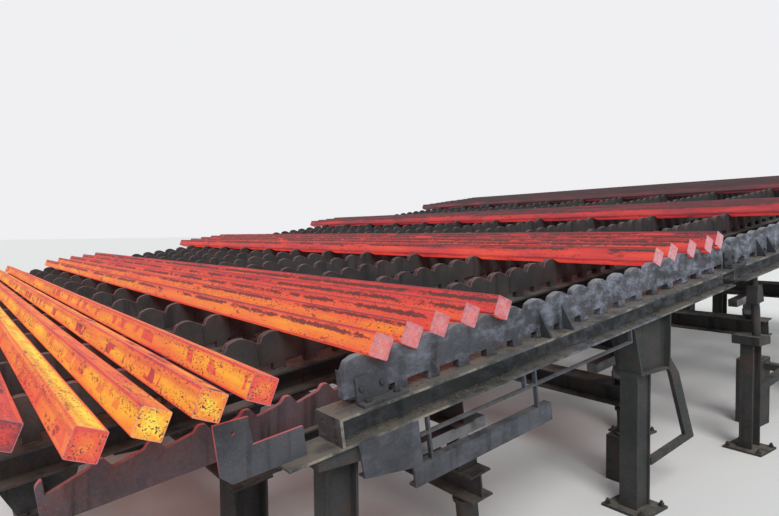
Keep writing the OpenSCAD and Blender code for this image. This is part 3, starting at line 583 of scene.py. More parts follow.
def hot_steel(name, seed, heat, patches, bands, specks, rims, tiles, chalk):
    """Glowing steel with scale: its heat goes through one ramp of colours.

    The heat is the group's own, hotter in long streaks along the middle of a side, cooler by the amount of rims at
    the corners, which also paints a line of shade along them, and darker towards both corners of a side, which
    towards the lower corner is painted shade in the gap between two billets. It is cooler under patches, long bands
    and fine flecks of scale and under square-cut tiles of it, each by its own amount. The tiles are strong only where
    the side's own heat is close to TILED. The cut ends are pale by the amount of chalk, which paints their look under
    daylight into the glow, and paler still at a painted highlight round their rim. The piece's billet_heat holds
    (corner, side, end, place): how near a point is to a corner, the side's own heat, how far in it lies on an end
    face, and how far across its side it lies.
    """
    tones = bpy.context.scene.heat_colours
    make = Finish(name, Metallic=0.0, Emission_Strength=1.0)
    place = make.shift(make.place(), (seed * 3.1, seed * 1.7, 0.0))
    held = make.node("ShaderNodeAttribute", {"attribute_name": "billet_heat"}, output="Color")
    band = Value(make, held.socket.node.outputs["Alpha"])
    split = make.node("ShaderNodeSeparateColor", inputs={"Color": held})
    corner, side, end = (Value(make, split.socket.node.outputs[at]) for at in range(3))
    # Heat of the sides
    streak = make.drawn(place, 0.10, 10.0, 5.0, 0.65)
    warmth = make.drawn(place, 0.22, 4.0, 3.0, 0.6)
    fine = make.noise(place, 60.0, 5.0, 0.8)
    body = heat + (side - 0.5) * 0.26 + (streak - 0.5) * 0.42 + (warmth - 0.5) * 0.36 + (fine - 0.5) * 0.30
    edge = make.step(corner, 0.78, 0.93)
    # Darker by rims at the corners and away from a line 42 % across a side; part of it is painted shade along the
    # corners and in the gaps between the billets
    body = body - edge * rims - abs(band - 0.42) * 0.20
    # Scale on the sides: patches, bands, flecks and tiles
    blotch = make.drawn(place, 0.30, 13.0, 6.0, 0.75)
    ragged = make.drawn(place, 0.35, 42.0, 4.0, 0.75)
    flaked = make.step(blotch + (ragged - 0.5) * 0.35 - edge * 0.1, 0.585, 0.625) * patches
    ribbon = make.step(abs(band - 0.75) + (ragged - 0.5) * 0.40 + (fine - 0.5) * 0.24, 0.08, 0.11, 1.0, 0.0)
    broken = make.step(make.drawn(place, 0.16, 8.0, 4.0, 0.7, across=0.5), 0.42, 0.48)
    cluster = make.step(make.drawn(place, 0.12, 6.0, 3.0, 0.6), 0.44, 0.58)
    dots = make.step(make.drawn(place, 0.45, 75.0, 3.0, 0.7), 0.565, 0.62) * cluster * specks
    if tiles:
        length = make.drawn(make.shift(place, side * 9.0), 1.0, 3.4, 2.0, 0.55, across=0.5)
        across = make.step(abs(band - 0.47) + (ragged - 0.5) * 0.22, 0.23, 0.27, 1.0, 0.0)
        chosen = make.step(abs(side - TILED), 0.05, 0.15, 1.0, 0.3)
        body = body - make.step(length, 0.56, 0.575) * across * chosen * tiles
    crust = flaked.larger(ribbon * broken * bands).larger(dots)
    # Cut ends: a hot core, pits, chalk that paints their look under daylight into the glow, and a painted highlight
    # round their rim
    rough_cut = make.noise(place, 26.0, 4.0, 0.7)
    core = side + end * 0.30 - 0.10 + (rough_cut - 0.5) * 0.50 + (fine - 0.5) * 0.35
    cut = make.step(end, 0.02, 0.10)
    pitted = make.step(make.noise(place, 95.0, 2.0, 0.6), 0.54, 0.60) * make.step(rough_cut, 0.44, 0.58) * cut
    crust = (crust * (1 - cut)).larger(pitted * specks * 1.3)
    # Painted daylight: by the amount of chalk the cut ends glow pale, mottled by noise
    pale = cut * make.step(rough_cut, 0.35, 0.62, 0.45, 1.0) * chalk
    # Painted highlight: the outer ring of an end face glows paler still
    pale = pale.larger(cut * make.step(end, 0.11, 0.20, 1.0, 0.0) * 0.45)
    # All of it through the ramp
    level = body * (1 - cut) + core * cut - crust * 0.25
    stops = [(at, linear(getattr(tones, key))) for key, at in HEAT_STOPS.items()]
    glow = make.node("ShaderNodeValToRGB", {"stops": stops}, {"Fac": level})
    glow = make.mix(crust, glow, linear(tones.crust))
    # The painted daylight and rim highlight of the cut ends go into the glow here
    glow = make.mix(pale, glow, linear(tones.chalk))
    surface = make.mix(make.step(level, 0.1, 0.5), linear(tones.clean), linear(tones.burnt))
    make.bump(blotch * 0.5 + fine * 0.3 - crust * 0.5, 0.003, 0.6)
    return make.finish(Base_Color=surface, Roughness=make.step(fine, 0.3, 0.7, 0.55, 0.85), Emission_Color=glow)


# The side heat of the billet whose tiles of scale show most, and where each colour stands on the ramp of heat
TILED = 0.61
HEAT_STOPS = {"scale": 0.0, "maroon": 0.16, "crimson": 0.30, "red": 0.45, "scarlet": 0.60, "orange": 0.74,
              "amber": 0.87, "yellow": 1.0}

# Cold steel: the name of its colour, the share of it, and what steel() takes
COLD = {
    "rake_dusty": ("rake", 1.0, dict(rust=0.10, specks=0.7, crest=(0.05, 0.28), smears=0.40, frost=1.9)),
    "rake_inner": ("inner", 1.0, dict(rust=0.3, specks=0.45, lit=(False, 0.005, 0.12, 0.8))),
    "walking_scaled": ("walking", 1.0, dict(rust=0.4, dust=0.2, specks=0.6, warm=0.3, lit=(True, 0.05, 0.38, 0.75))),
    # edge puts a painted highlight along the flange edges of the front beams
    "beam_grimy": ("beam", 1.0, dict(rust=0.25, dust=0.85, specks=0.3, rough=0.68, metal=0.15, edge=0.001,
                                     smears=0.20, frost=2.4)),
    "beam_inner": ("beam", 0.85, dict(rust=0.35, dust=0.4, specks=0.3)),
    "plate_rubbed": ("rake", 0.9, dict(rust=0.12)),
    "plate_lit": ("rake", 0.95, dict(rust=0.10, specks=0.7, smears=0.06, lit=(False, 0.03, 0.5, 0.6))),
    "channel_blue": ("rake", 0.95, dict(rust=0.15, dust=0.4, rough=0.7, smears=0.14)),
    "frame_dark": ("frame", 1.0, dict(rust=0.45, dust=0.8, specks=0.2, rough=0.7, metal=0.15)),
    "bolt_black": ("bolt", 1.0, dict(rust=0.6, dust=0.5, specks=0.4, rough=0.5, metal=0.5)),
    "weld_bead": ("weld", 1.0, dict(rust=0.5, specks=0.6, rough=0.45, metal=0.5)),
    "scale_loose": ("flake", 1.0, dict(rust=0.5, dust=0.5, specks=0.9, rough=0.75)),
}

# Machined steel: the name of its colour, its roughness and its film of grease
MACHINED = {"roller_turned": ("turned", 0.32, 0.5), "rod_ground": ("ground", 0.14, 0.25)}

# Hot steel: seed, heat, patches, bands, specks, rims, tiles and chalk
HOT = {
    "billet_orange": (1, 0.77, 0.60, 0.15, 0.95, 0.20, 0.40, 0.05),
    "billet_scarlet": (2, 0.61, 0.55, 0.80, 0.75, 0.16, 0.0, 0.6),
    "billet_red": (3, 0.47, 0.45, 0.90, 0.55, 0.10, 0.0, 0.9),
    "billet_dull": (4, 0.31, 0.35, 0.60, 0.40, 0.05, 0.0, 0.75),
    "billet_dark": (5, 0.16, 0.25, 0.35, 0.25, 0.02, 0.0, 0.5),
}

FINISHES = {}


def finish_of(name):
    """The finish of that name, made once."""
    if name in FINISHES:
        return FINISHES[name]
    tones = bpy.context.scene.steel_colours
    if name in HOT:
        FINISHES[name] = hot_steel(name, *HOT[name])
    elif name in MACHINED:
        key, rough, grease = MACHINED[name]
        FINISHES[name] = machined(name, getattr(tones, key), rough, grease)
    else:
        key, share, settings = COLD[name]
        FINISHES[name] = steel(name, np.array(getattr(tones, key)) * share, **settings)
    return FINISHES[name]


# ---- outlines ----

# Metres: the most that a crest of a fixed rake has worn down
CREST_WEAR = 0.0025


def rake_outline(first, count):
    """The side view of one length of fixed rake, anticlockwise, with the radius of each corner.

    Each seat gives its root, the top of its steep flank and both ends of the crest; each foot gives four corners.
    """
    bed, rake = bpy.context.scene.bed_sizes, bpy.context.scene.rake_sizes
    seats = (first + np.arange(count)) * bed.pitch
    lean = math.tan(rake.seat_angle)
    run = rake.seat_depth / lean
    start, end = first * bed.pitch - rake.lead, (first + count) * bed.pitch - rake.lead - rake.gap
    tooth = np.array([[0, -rake.seat_depth], [rake.flank * lean, rake.flank - rake.seat_depth],
                      [bed.pitch - run - rake.crest, 0], [bed.pitch - run, 0]])
    worn = np.array([0.0, 0.2, 1.0, 1.0]) * CREST_WEAR * hashed(first * 7 + count, count, 1)
    top = seats[:, None, None] * [1, 0] + tooth
    top[..., 1] -= worn
    under = rake.slot - rake.height
    foot = np.array([[0, under], [0, -rake.height], [rake.foot, -rake.height], [rake.foot, under]])
    feet = (seats + rake.foot_start)[:, None, None] * [1, 0] + foot
    start_n = rake.lead * lean - rake.seat_depth
    end_n = (rake.lead + rake.gap) * lean - rake.seat_depth
    outline = np.concatenate([[[start, start_n], [start, under]], feet.reshape(-1, 2),
                              [[end, under], [end, end_n]], top.reshape(-1, 2)[::-1]])
    radius = np.concatenate([[0.005, 0.005], np.tile([0.006, 0.005, 0.005, 0.006], count), [0.005, 0.005],
                             np.tile([0.016, 0.014, 0.008, 0.001], count)])
    return outline, radius


def walking_outline():
    """The side view of a walking rake, anticlockwise: a plate with saw teeth and a cut tab at its low end.

    Each tooth rises by a long slope and then a steeper one, whose crest is broken off by 9 mm ahead and 4 mm behind.
    """
    bed, rake = bpy.context.scene.bed_sizes, bpy.context.scene.rake_sizes
    last = bed.entry_teeth + bed.bays * bed.bay_teeth - bed.end_teeth
    count = last - 2
    top, bottom = -rake.walk_drop, -rake.walk_drop - rake.walk_height
    first = rake.walk_seat + rake.walk_first
    end = first + count * bed.pitch
    seats = first + np.arange(count) * bed.pitch
    low = top - rake.walk_depth
    crest = rake.walk_slope + rake.walk_riser
    tooth = np.array([[0, low], [rake.walk_slope, low + rake.walk_rise],
                      [rake.walk_slope + rake.walk_riser * 0.62, top - 0.009],
                      [crest, top], [crest + rake.walk_crest, top - 0.004]])
    teeth = (seats[:, None, None] * [1, 0] + tooth).reshape(-1, 2)[1:]
    start = rake.walk_start
    tab = np.array([[start + 0.05, bottom], [start, bottom + 0.04], [start, top - 0.044],
                    [start + 0.009, top - 0.028], [start + 0.028, top - 0.012], [start + 0.038, top - 0.012],
                    [rake.walk_seat, low - 0.03]])
    return np.concatenate([tab, teeth, [[end, low], [end, bottom]]])[::-1]


# The rings that close a billet's end: the share of its side, and how far each stands out of a depth, in metres
CAP_SHARES = np.array([0.985, 0.8, 0.55, 0.28])
CAP_BULGES = np.array([0.0005, 0.0025, 0.0035, 0.004])
CAP_DEPTH = 0.004


def billet_shape(foot, near, length, seed, rows, heats):
    """One billet: a rounded square carried along the bed, with its points' heat values.

    The ring runs round the square with five points to a side and four to the arc of a corner. It is drawn in by up to
    1 mm of slow waves, the billet bows by up to 4 mm, and at the ends the ring closes towards the middle.
    """
    load, rake = bpy.context.scene.billet_sizes, bpy.context.scene.rake_sizes
    s, r = load.side, load.radius
    arc = np.linspace(0, math.pi / 2, 4)
    corner = np.stack([r * np.sin(arc), -r * np.cos(arc)], 1) + [s - r, r]
    flat = np.stack([np.linspace(r, s - r, 7)[1:-1], np.zeros(5)], 1)
    quarter = np.concatenate([flat, corner])
    turns = [np.array([[math.cos(a), -math.sin(a)], [math.sin(a), math.cos(a)]]) for a in np.arange(4) * math.pi / 2]
    ring = np.concatenate([(quarter - s / 2) @ turn.T for turn in turns])
    sides = np.repeat(np.arange(4), len(quarter))
    reach = np.abs(ring)
    nearness = np.clip(1 - (s / 2 - reach.min(1)) / (s / 2), 0, 1)
    draws = hashed(seed, 40)
    t = np.concatenate([np.linspace(0, 0.25, rows // 3, endpoint=False), np.linspace(0.25, 1, rows - rows // 3)])
    v = near + t * length
    phase = np.arange(len(ring)) * 0.9 + draws[20] * 9
    wave = np.sin(v[:, None] * 7.3 + phase) * np.sin(v[:, None] * 2.9 + sides * 1.7 + draws[21] * 6)
    scale = 1 - (0.0005 + 0.0005 * wave) / (s / 2)
    body = ring[None] * scale[..., None]
    low_cap, high_cap = (ring[None] * shares[:, None, None] for shares in (CAP_SHARES[::-1], CAP_SHARES))
    section = np.concatenate([low_cap, body, high_cap])
    inward = CAP_DEPTH * np.where(np.abs(t - 0.5) > 0.4999, 1 - 2 * t, 0)
    places = np.concatenate([near + CAP_DEPTH - CAP_BULGES[::-1], v + inward, near + length - CAP_DEPTH + CAP_BULGES])
    tilt = math.pi / 2 - rake.seat_angle
    up = np.array([math.cos(tilt), math.sin(tilt)])
    out = np.array([-math.sin(tilt), math.cos(tilt)])
    a, b = section[..., 0] + s / 2, section[..., 1] + s / 2
    bow = 0.002 * np.sin(np.clip((places - near) / length, 0, 1) * math.pi * 3 + draws[22] * 6)[:, None] + 0.002
    u = foot + a * up[0] + b * out[0]
    n = load.seat - rake.seat_depth + a * up[1] + b * out[1] + bow
    points = bed_points(u, places[:, None], n)
    # The sides run right of the foot, upper right, upper left and left of the foot
    end_heat, left, right = heats
    warmth = np.array([draws[0] * 0.5, right, left, draws[3] * 0.4 + left * 0.5])
    lengthwise = np.where(sides % 2 == 0, ring[:, 0], ring[:, 1]) / s + 0.5
    heat = np.zeros(section.shape[:2] + (4,))
    heat[..., 0] = nearness
    heat[..., 1] = warmth[sides][None]
    heat[..., 3] = lengthwise + (draws[5:9] - 0.5)[sides] * 0.2
    for rings, shares in ((slice(0, 4), CAP_SHARES[::-1]), (slice(-4, None), CAP_SHARES)):
        heat[rings, :, 2] = (1 - shares)[:, None] + 0.1
        heat[rings, :, 1] = end_heat
    return points.reshape(1, -1, 3), tube_faces(*section.shape[:2]), heat


def fastener(*levels, sides=12):
    """Rings up an axis: each level is (radius, height), with HEX as a third where the ring is hexagonal.

    A hexagonal ring's radius is its half width over the cosine of the angle from its nearest flat.
    """
    turn = np.arange(sides) * 2 * math.pi / sides
    spread = 1 / np.cos((turn + math.pi / 6) % (math.pi / 3) - math.pi / 6)
    radius, height = np.array([level[:2] for level in levels]).T[..., None]
    radius = radius * np.where(np.array([HEX in level[2:] for level in levels])[:, None], spread, 1.0)
    return np.stack([radius * np.cos(turn), radius * np.sin(turn), np.broadcast_to(height, radius.shape)], -1)


def hex_bolt(size, washer=True):
    """A bolt's head and washer above the face it sits on, or the head alone with six sides, from its thread size."""
    top = (0.82 * size, 0.72 * size, HEX), (0.7 * size, 0.82 * size)
    if not washer:
        return fastener((0.82 * size, -SUNK, HEX), *top, sides=6)
    return fastener((1.15 * size, -SUNK), (1.15 * size, 0.2 * size), (0.82 * size, 0.2 * size, HEX), *top)


def stud_nut(size):
    """An anchor's washer, nut and the stud that stands out of it."""
    return fastener((1.2 * size, -SUNK), (1.2 * size, 0.16 * size), (0.82 * size, 0.16 * size, HEX),
                    (0.82 * size, 0.96 * size, HEX), (0.5 * size, 0.98 * size), (0.5 * size, 1.7 * size),
                    (0.42 * size, 1.78 * size))


def add_copies(shell, shape, places, axis, side, faces=tube_faces):
    """Copies of rings drawn about +Z, set with their axis and first side along two given directions."""
    local = shape @ np.stack([side, np.cross(axis, side), axis])
    points = places.reshape(-1, 1, 3) + local.reshape(1, -1, 3)
    shell.add(points, faces(*shape.shape[:2]))


def add_squares(shell, shape, u, v, level, half_u, half_v):
    """Four upright copies about each place, half a side away along both of the bed's axes."""
    for du in (-half_u, half_u):
        for dv in (-half_v, half_v):
            add_copies(shell, shape, bed_points(u + du, v + dv, level), AXIS_N, AXIS_U)


def add_welds(shell, starts, along, length, side, up, size, ripples):
    """Fillet welds: a three-cornered bead with a rounded face, whose size swells as the cosine of each ripple."""
    t = np.linspace(0, 1, 2 * ripples + 1)
    reach = size * (1 + 0.16 * np.cos(t * ripples * 2 * math.pi)) * np.where((t == 0) | (t == 1), 0.7, 1)
    section = np.array([[-0.1, -0.1], [1, -0.1], [0.72, 0.72], [-0.1, 1]])
    across = section[:, :1] * side + section[:, 1:] * up
    local = (t[:, None, None] * length * along) + reach[:, None, None] * across
    points = starts.reshape(-1, 1, 3) + local.reshape(1, -1, 3)
    shell.add(points, tube_faces(len(t), 4))


def add_flakes(shell, places, size, seed):
    """Scale flakes: six-sided plates with ragged rims, tilted and turned at random, resting on their place."""
    count = len(places)
    draws = hashed(seed, count, 20)
    turn = np.arange(6) * math.pi / 3 + draws[:, :6] * 0.8
    radius = size[:, None] * (0.55 + 0.45 * draws[:, 6:12])
    rim = np.stack([radius * np.cos(turn), radius * np.sin(turn) * (0.5 + 0.5 * draws[:, 12:13])], -1)
    thick = (0.0015 + 0.12 * size) * (0.5 + draws[:, 13])
    tilt = (draws[:, 14:16] - 0.5) * 0.5
    height = rim[..., 0] * tilt[:, :1] + rim[..., 1] * tilt[:, 1:]
    height = height - height.min(1, keepdims=True)
    low = places[:, None] + rim[..., :1] * AXIS_U + rim[..., 1:] * AXIS_V + height[..., None] * AXIS_N
    high = low + thick[:, None, None] * AXIS_N - 0.12 * (low - low.mean(1, keepdims=True))
    shell.add(np.stack([low, high], 1).reshape(count, -1, 3), tube_faces(2, 6))


# Metres: the first clamp plate from the start of the beam, and the gap between a shoe and its roller
FIRST_CLAMP = 0.36
SLIDE_GAP = 0.0003


def bed_lines():
    """Where the bed's parts stand, in metres: levels, stations and rows by name, by the same rules as the frame."""
    bed, rake, beam = (bpy.context.scene.bed_sizes, bpy.context.scene.rake_sizes, bpy.context.scene.beam_sizes)
    at = {"bay": bed.bay_teeth * bed.pitch, "top": -rake.height, "bottom": -rake.height - beam.height}
    at["start"] = bed.entry_teeth * bed.pitch - beam.lead
    at["end"] = at["start"] + bed.bays * at["bay"] - beam.gap
    bay = np.arange(bed.bays)
    at["joints"] = at["start"] - beam.gap / 2 + bay * at["bay"]
    at["clamps"] = np.concatenate([[at["start"] + FIRST_CLAMP], at["joints"][1:]])
    at["supports"] = np.concatenate([[beam.entry_support], at["joints"], [at["end"] - beam.stool / 2]])
    at["stations"] = (at["joints"][:, None] + beam.girder_at + np.arange(2) * beam.girder_step).ravel()
    third = bed.rows // 3
    at["roller_rows"] = np.array([0, third, 2 * third, bed.rows - 2]) * bed.row_pitch + rake.walk_across
    at["walk_beam_bottom"] = -rake.walk_drop - rake.walk_height - beam.walk_beam
    at["girder_top"] = at["walk_beam_bottom"] - beam.girder_gap
    at["roller"] = at["walk_beam_bottom"] - beam.walk_girder - beam.shoe - SLIDE_GAP - beam.roller / 2
    at["lift_top"] = at["roller"] - beam.roller / 2 - beam.roller_gap
    at["barrel_top"] = at["lift_top"] - beam.lift_girder - beam.rod_free
    at["barrel_bottom"] = at["barrel_top"] - beam.barrel
    return at


def mesh_grid(*axes):
    """Every combination of some lists of numbers, as flat arrays."""
    return [axis.ravel() for axis in np.meshgrid(*axes, indexing="ij")]


# ---- operators ----

class BuildOperator:
    """What the building operators share."""
    bl_options = {"REGISTER"}

    def execute(self, context):
        self.build(context.scene)
        return {"FINISHED"}


class COOLING_OT_fixed_rakes(BuildOperator, bpy.types.Operator):
    """Makes the twelve rows of fixed rakes with worn edges and crests"""
    bl_idname = "cooling.fixed_rakes"
    bl_label = "Fixed rakes"

    def build(self, scene):
        bed, rake = scene.bed_sizes, scene.rake_sizes
        for row in range(bed.rows):
            shell = Shell()
            lengths = [(bed.entry_teeth + b * bed.bay_teeth, bed.bay_teeth - (b == bed.bays - 1) * bed.end_teeth)
                       for b in range(bed.bays)]
            if row:
                lengths.insert(0, (0, bed.entry_teeth))
            for first, count in lengths:
                outline, radius = rake_outline(first, count)
                outline = soften(outline, radius, 2 if row else 4)
                add_plate(shell, outline, row * bed.row_pitch, rake.thickness, rake.edge, 1 if row else 2)
            shell.make(f"toothed_row_{row + 1:02d}", "rake_inner" if row else "rake_dusty", "fixed_bed", "rake_steel",
                       replaced=f"fixed_rake_{row + 1:02d}")


class COOLING_OT_walking_rakes(BuildOperator, bpy.types.Operator):
    """Makes the walking rakes between the rows"""
    bl_idname = "cooling.walking_rakes"
    bl_label = "Walking rakes"

    def build(self, scene):
        bed, rake = scene.bed_sizes, scene.rake_sizes
        outline = soften(walking_outline(), 0.008, 3)
        for row in range(bed.rows - 1):
            shell = Shell()
            add_plate(shell, outline, row * bed.row_pitch + rake.walk_across, rake.walk_thickness, 0.002)
            shell.make(f"saw_row_{row + 1:02d}", "walking_scaled", "walking_frame", "walking_steel",
                       replaced=f"walking_rake_{row + 1:02d}")


class COOLING_OT_billets(BuildOperator, bpy.types.Operator):
    """Makes the five groups of billets with their scale and heat"""
    bl_idname = "cooling.billets"
    bl_label = "Billets"

    # For each group: its name, first seat, rings along a billet, then for each billet the heat of its cut ends, of
    # its upper left side and of its upper right side
    groups = (("orange", 0, 180, (0.30, 0.56, 0.88, 0.78, 0.56), (-1.0, 0.35, 0.75, 0.62, 0.50),
               (-0.7, 1.25, 0.35, 0.60, 0.40)),
              ("scarlet", 7, 120, (0.50, 0.44, 0.42, 0.42, 0.40), (1.0, 0.8, 0.45, 0.25, 0.0), (0.2,) * 5),
              ("red", 19, 90, (0.42,) * 5, (0.5, 0.7, 0.6, 0.5, 0.4), (0.2,) * 5),
              ("dull", 34, 60, (0.30,) * 4, (0.7, 0.6, 0.5, 0.4), (0.3,) * 4),
              ("dark", 51, 60, (0.2,) * 10, (0.5,) * 10, (0.4,) * 10))

    # The near ends are staggered as a cosine over the seats: the seat where it peaks, and its turn in degrees a seat
    wave_seat, wave_turn = 9.3, 70

    def build(self, scene):
        bed, load = scene.bed_sizes, scene.billet_sizes
        for name, first, rows, *heats in self.groups:
            shell = Shell()
            for k, heat in enumerate(zip(*heats), first):
                wave = 0.5 + 0.5 * math.cos(math.radians((k - self.wave_seat) * self.wave_turn))
                near = load.stagger * wave - load.overhang if first else -load.hot_overhang
                set_back = 0 if k else load.first_back
                length = load.length - load.stagger - set_back
                shell.add(*billet_shape(k * bed.pitch, near + set_back, length, 50 + k, rows, heat))
            shell.make(f"{name}_load", f"billet_{name}", "fixed_bed", f"billet_{name}", replaced=f"{name}_billets")


class COOLING_OT_steelwork(BuildOperator, bpy.types.Operator):
    """Gives the beams, supports and lifting gear their finishes"""
    bl_idname = "cooling.steelwork"
    bl_label = "Steelwork"

    finishes = {
        "beam_grimy": ("front_beams",),
        "beam_inner": ("inner_beams", "front_trestles", "front_ties"),
        "plate_rubbed": ("gusset_plates", "clamp_plates"),
        "plate_lit": ("entry_plate",),
        "channel_blue": ("lower_beam",),
        "frame_dark": ("beam_stools", "cross_girders", "columns", "base_plates", "front_supports", "walking_beams",
                       "walking_girders", "roller_brackets", "lift_girders", "cylinder_pedestals", "lift_cylinders"),
        "roller_turned": ("rollers", "runner_shoes"),
        "rod_ground": ("lift_rods",),
    }

    def build(self, scene):
        for finish, nodes in self.finishes.items():
            for node in nodes:
                mesh = NODES[node].data
                mesh.materials.clear()
                mesh.materials.append(finish_of(finish))


class COOLING_OT_welds(BuildOperator, bpy.types.Operator):
    """Runs weld beads along the feet of the rakes"""
    bl_idname = "cooling.welds"
    bl_label = "Weld beads"

    def build(self, scene):
        bed, rake, at = scene.bed_sizes, scene.rake_sizes, bed_lines()
        last = bed.entry_teeth + bed.bays * bed.bay_teeth - bed.end_teeth
        front, inner = Shell(), Shell()
        for row in range(bed.rows):
            seats = np.arange(0 if row else bed.entry_teeth, last)
            for side in (-1, 1):
                starts = bed_points(seats * bed.pitch + rake.foot_start + 0.003,
                                    row * bed.row_pitch + side * rake.thickness / 2, at["top"])
                add_welds(inner if row else front, starts, AXIS_U, rake.foot - 0.006, side * AXIS_V, AXIS_N,
                          0.009, 2 if row else 7)
        front.make("front_foot_welds", "weld_bead", "fixed_bed", "rake_steel", smooth=True)
        inner.make("inner_foot_welds", "weld_bead", "fixed_bed", "rake_steel", smooth=True)


class COOLING_OT_bolts(BuildOperator, bpy.types.Operator):
    """Sets bolts, nuts and anchors on the plates of the bed"""
    bl_idname = "cooling.bolts"
    bl_label = "Bolts and anchors"

    # Metres: the cleats' thickness, the gap between them and the rake, the flange left free beside a clamp plate, and
    # the thickness of the walking beams' flanges
    cleat_plate, cleat_gap, clamp_margin, walk_flange = 0.014, 0.006, 0.014, 0.012
    # Metres from the middle of a plate to its bolts, along the bed and across it
    clamp_reach, stool_reach, walk_reach = 0.11, (0.105, 0.055), (0.06, 0.045)

    def build(self, scene):
        bed, rake, beam, at = scene.bed_sizes, scene.rake_sizes, scene.beam_sizes, bed_lines()
        cleats, clamps, stools, walk, anchors = (Shell() for _ in range(5))

        middle = rake.thickness / 2 + ((beam.width - rake.thickness) / 2 - self.clamp_margin) / 2
        u, v = mesh_grid(at["clamps"], np.array([-middle, middle]))
        for shift in (-self.clamp_reach, self.clamp_reach):
            add_copies(clamps, hex_bolt(0.022), bed_points(u + shift, v, at["top"] + beam.plate), AXIS_N, AXIS_U)
        foot, top = at["top"] + beam.plate - SUNK, at["top"] + beam.cleat
        across = -rake.thickness / 2 - self.cleat_gap - self.cleat_plate / 2
        for low in at["clamps"] - beam.clamp_plate / 2:
            high = low + beam.cleat_length
            outline = np.array([[low, foot], [high, foot], [high, top], [low, top]])
            add_plate(cleats, soften(outline, 0.006, 3), across, self.cleat_plate, 0.0015)
            spots = bed_points(np.array([low + 0.035, high - 0.05]), across - self.cleat_plate / 2, at["top"] + 0.10)
            add_copies(clamps, hex_bolt(0.018), spots, -AXIS_V, AXIS_U)
        cleats.make("clamp_cleats", "plate_rubbed", "fixed_bed", "beam_steel")
        clamps.make("clamp_bolts", "bolt_black", "fixed_bed", "beam_steel")

        head = hex_bolt(0.02, washer=False)
        u, v = mesh_grid(at["supports"], np.arange(1, bed.rows) * bed.row_pitch)
        add_squares(stools, head, u, v, at["girder_top"] + beam.girder_plate, *self.stool_reach)
        stools.make("stool_bolts", "bolt_black", "fixed_bed", "frame_steel")

        u, v = mesh_grid(at["stations"], np.arange(bed.rows - 1) * bed.row_pitch + rake.walk_across)
        add_squares(walk, head, u, v, at["walk_beam_bottom"] + self.walk_flange, *self.walk_reach)
        walk.make("walking_bolts", "bolt_black", "walking_frame", "frame_steel")

        level, upright = np.array([1.0, 0.0, 0.0]), np.array([0.0, 0.0, 1.0])
        centres = self.plate_centres()
        for dx in (-0.5, 0.5):
            for dy in (-0.5, 0.5):
                step = np.array([dx, dy, 0]) * beam.anchor_step
                add_copies(anchors, stud_nut(0.027), centres + step + upright * beam.base_plate, upright, level)
        anchors.make("anchor_nuts", "bolt_black", "fixed_bed", "frame_steel")

    def plate_centres(self):
        """The middle of every base plate on the floor, from each corner that has one a side away on both axes."""
        mesh = NODES["base_plates"].data
        points = np.empty(len(mesh.vertices) * 3, np.float32)
        mesh.vertices.foreach_get("co", points)
        points = points.reshape(-1, 3)
        side = bpy.context.scene.beam_sizes.base_side
        _, ahead = np.unique(np.round(points[:, :2], 3), axis=0, return_index=True)
        corners = points[np.sort(ahead)][:, :2].astype(float)
        lows = corners[[np.abs(corners - (corner + side)).sum(1).min() < 0.004 for corner in corners]]
        return np.column_stack([lows + side / 2, np.zeros(len(lows))])


class COOLING_OT_lift_gear(BuildOperator, bpy.types.Operator):
    """Dresses rollers and cylinders: keepers, hubs, glands and their bolts"""
    bl_idname = "cooling.lift_gear"
    bl_label = "Lifting gear"

    def build(self, scene):
        beam, at = scene.beam_sizes, bed_lines()
        u, v = mesh_grid(at["stations"], at["roller_rows"])
        glands, hubs, keepers = Shell(), Shell(), Shell()
        half, axle = beam.barrel_width / 2, beam.axle / 2
        gland = fastener((beam.rod / 2 + 0.002, 0.0), (half - 0.012, 0.0), (half + 0.018, -0.006),
                         (half + 0.018, -0.028), (half - 0.001, -0.034), sides=32)
        foot = fastener((half - 0.001, 0.030), (half + 0.03, 0.022), (half + 0.034, 0.018), (half + 0.034, 0.0),
                        (half - 0.002, 0.0), sides=32)
        for shape, level in ((gland, at["barrel_top"] - 0.001), (foot, at["barrel_bottom"])):
            add_copies(glands, shape, bed_points(u, v, level), AXIS_N, AXIS_U, ring_faces)
        for turn in np.arange(8) * math.pi / 4:
            du, dv = (half + 0.003) * math.cos(turn), (half + 0.003) * math.sin(turn)
            spots = bed_points(u + du, v + dv, at["barrel_top"] - 0.005)
            add_copies(glands, hex_bolt(0.012, washer=False), spots, AXIS_N, AXIS_U)
        glands.make("cylinder_glands", "frame_dark", "fixed_bed", "frame_steel")

        hub = fastener((axle + 0.028, -0.004), (axle + 0.028, 0.001), (axle + 0.022, 0.0018), sides=24)
        keeper = fastener((0.052, -SUNK, HEX), (0.052, 0.008, HEX), (0.046, 0.0095, HEX))
        for side in (-1, 1):
            outward = side * AXIS_V
            add_copies(hubs, hub, bed_points(u, v + side * beam.roller_width / 2, at["roller"]), outward, AXIS_U)
            face = beam.roller_width / 2 + 0.002 + beam.cheek
            add_copies(keepers, keeper, bed_points(u, v + side * face, at["roller"]), outward, AXIS_U)
            for turn in np.arange(3) * 2 * math.pi / 3 + 0.5:
                du, dn = 0.041 * math.cos(turn), 0.041 * math.sin(turn)
                spots = bed_points(u + du, v + side * (face + 0.009), at["roller"] + dn)
                add_copies(keepers, hex_bolt(0.009, washer=False), spots, outward, AXIS_U)
        hubs.make("roller_hubs", "roller_turned", "lift_frame", "machined_steel")
        keepers.make("axle_keepers", "bolt_black", "lift_frame", "frame_steel")


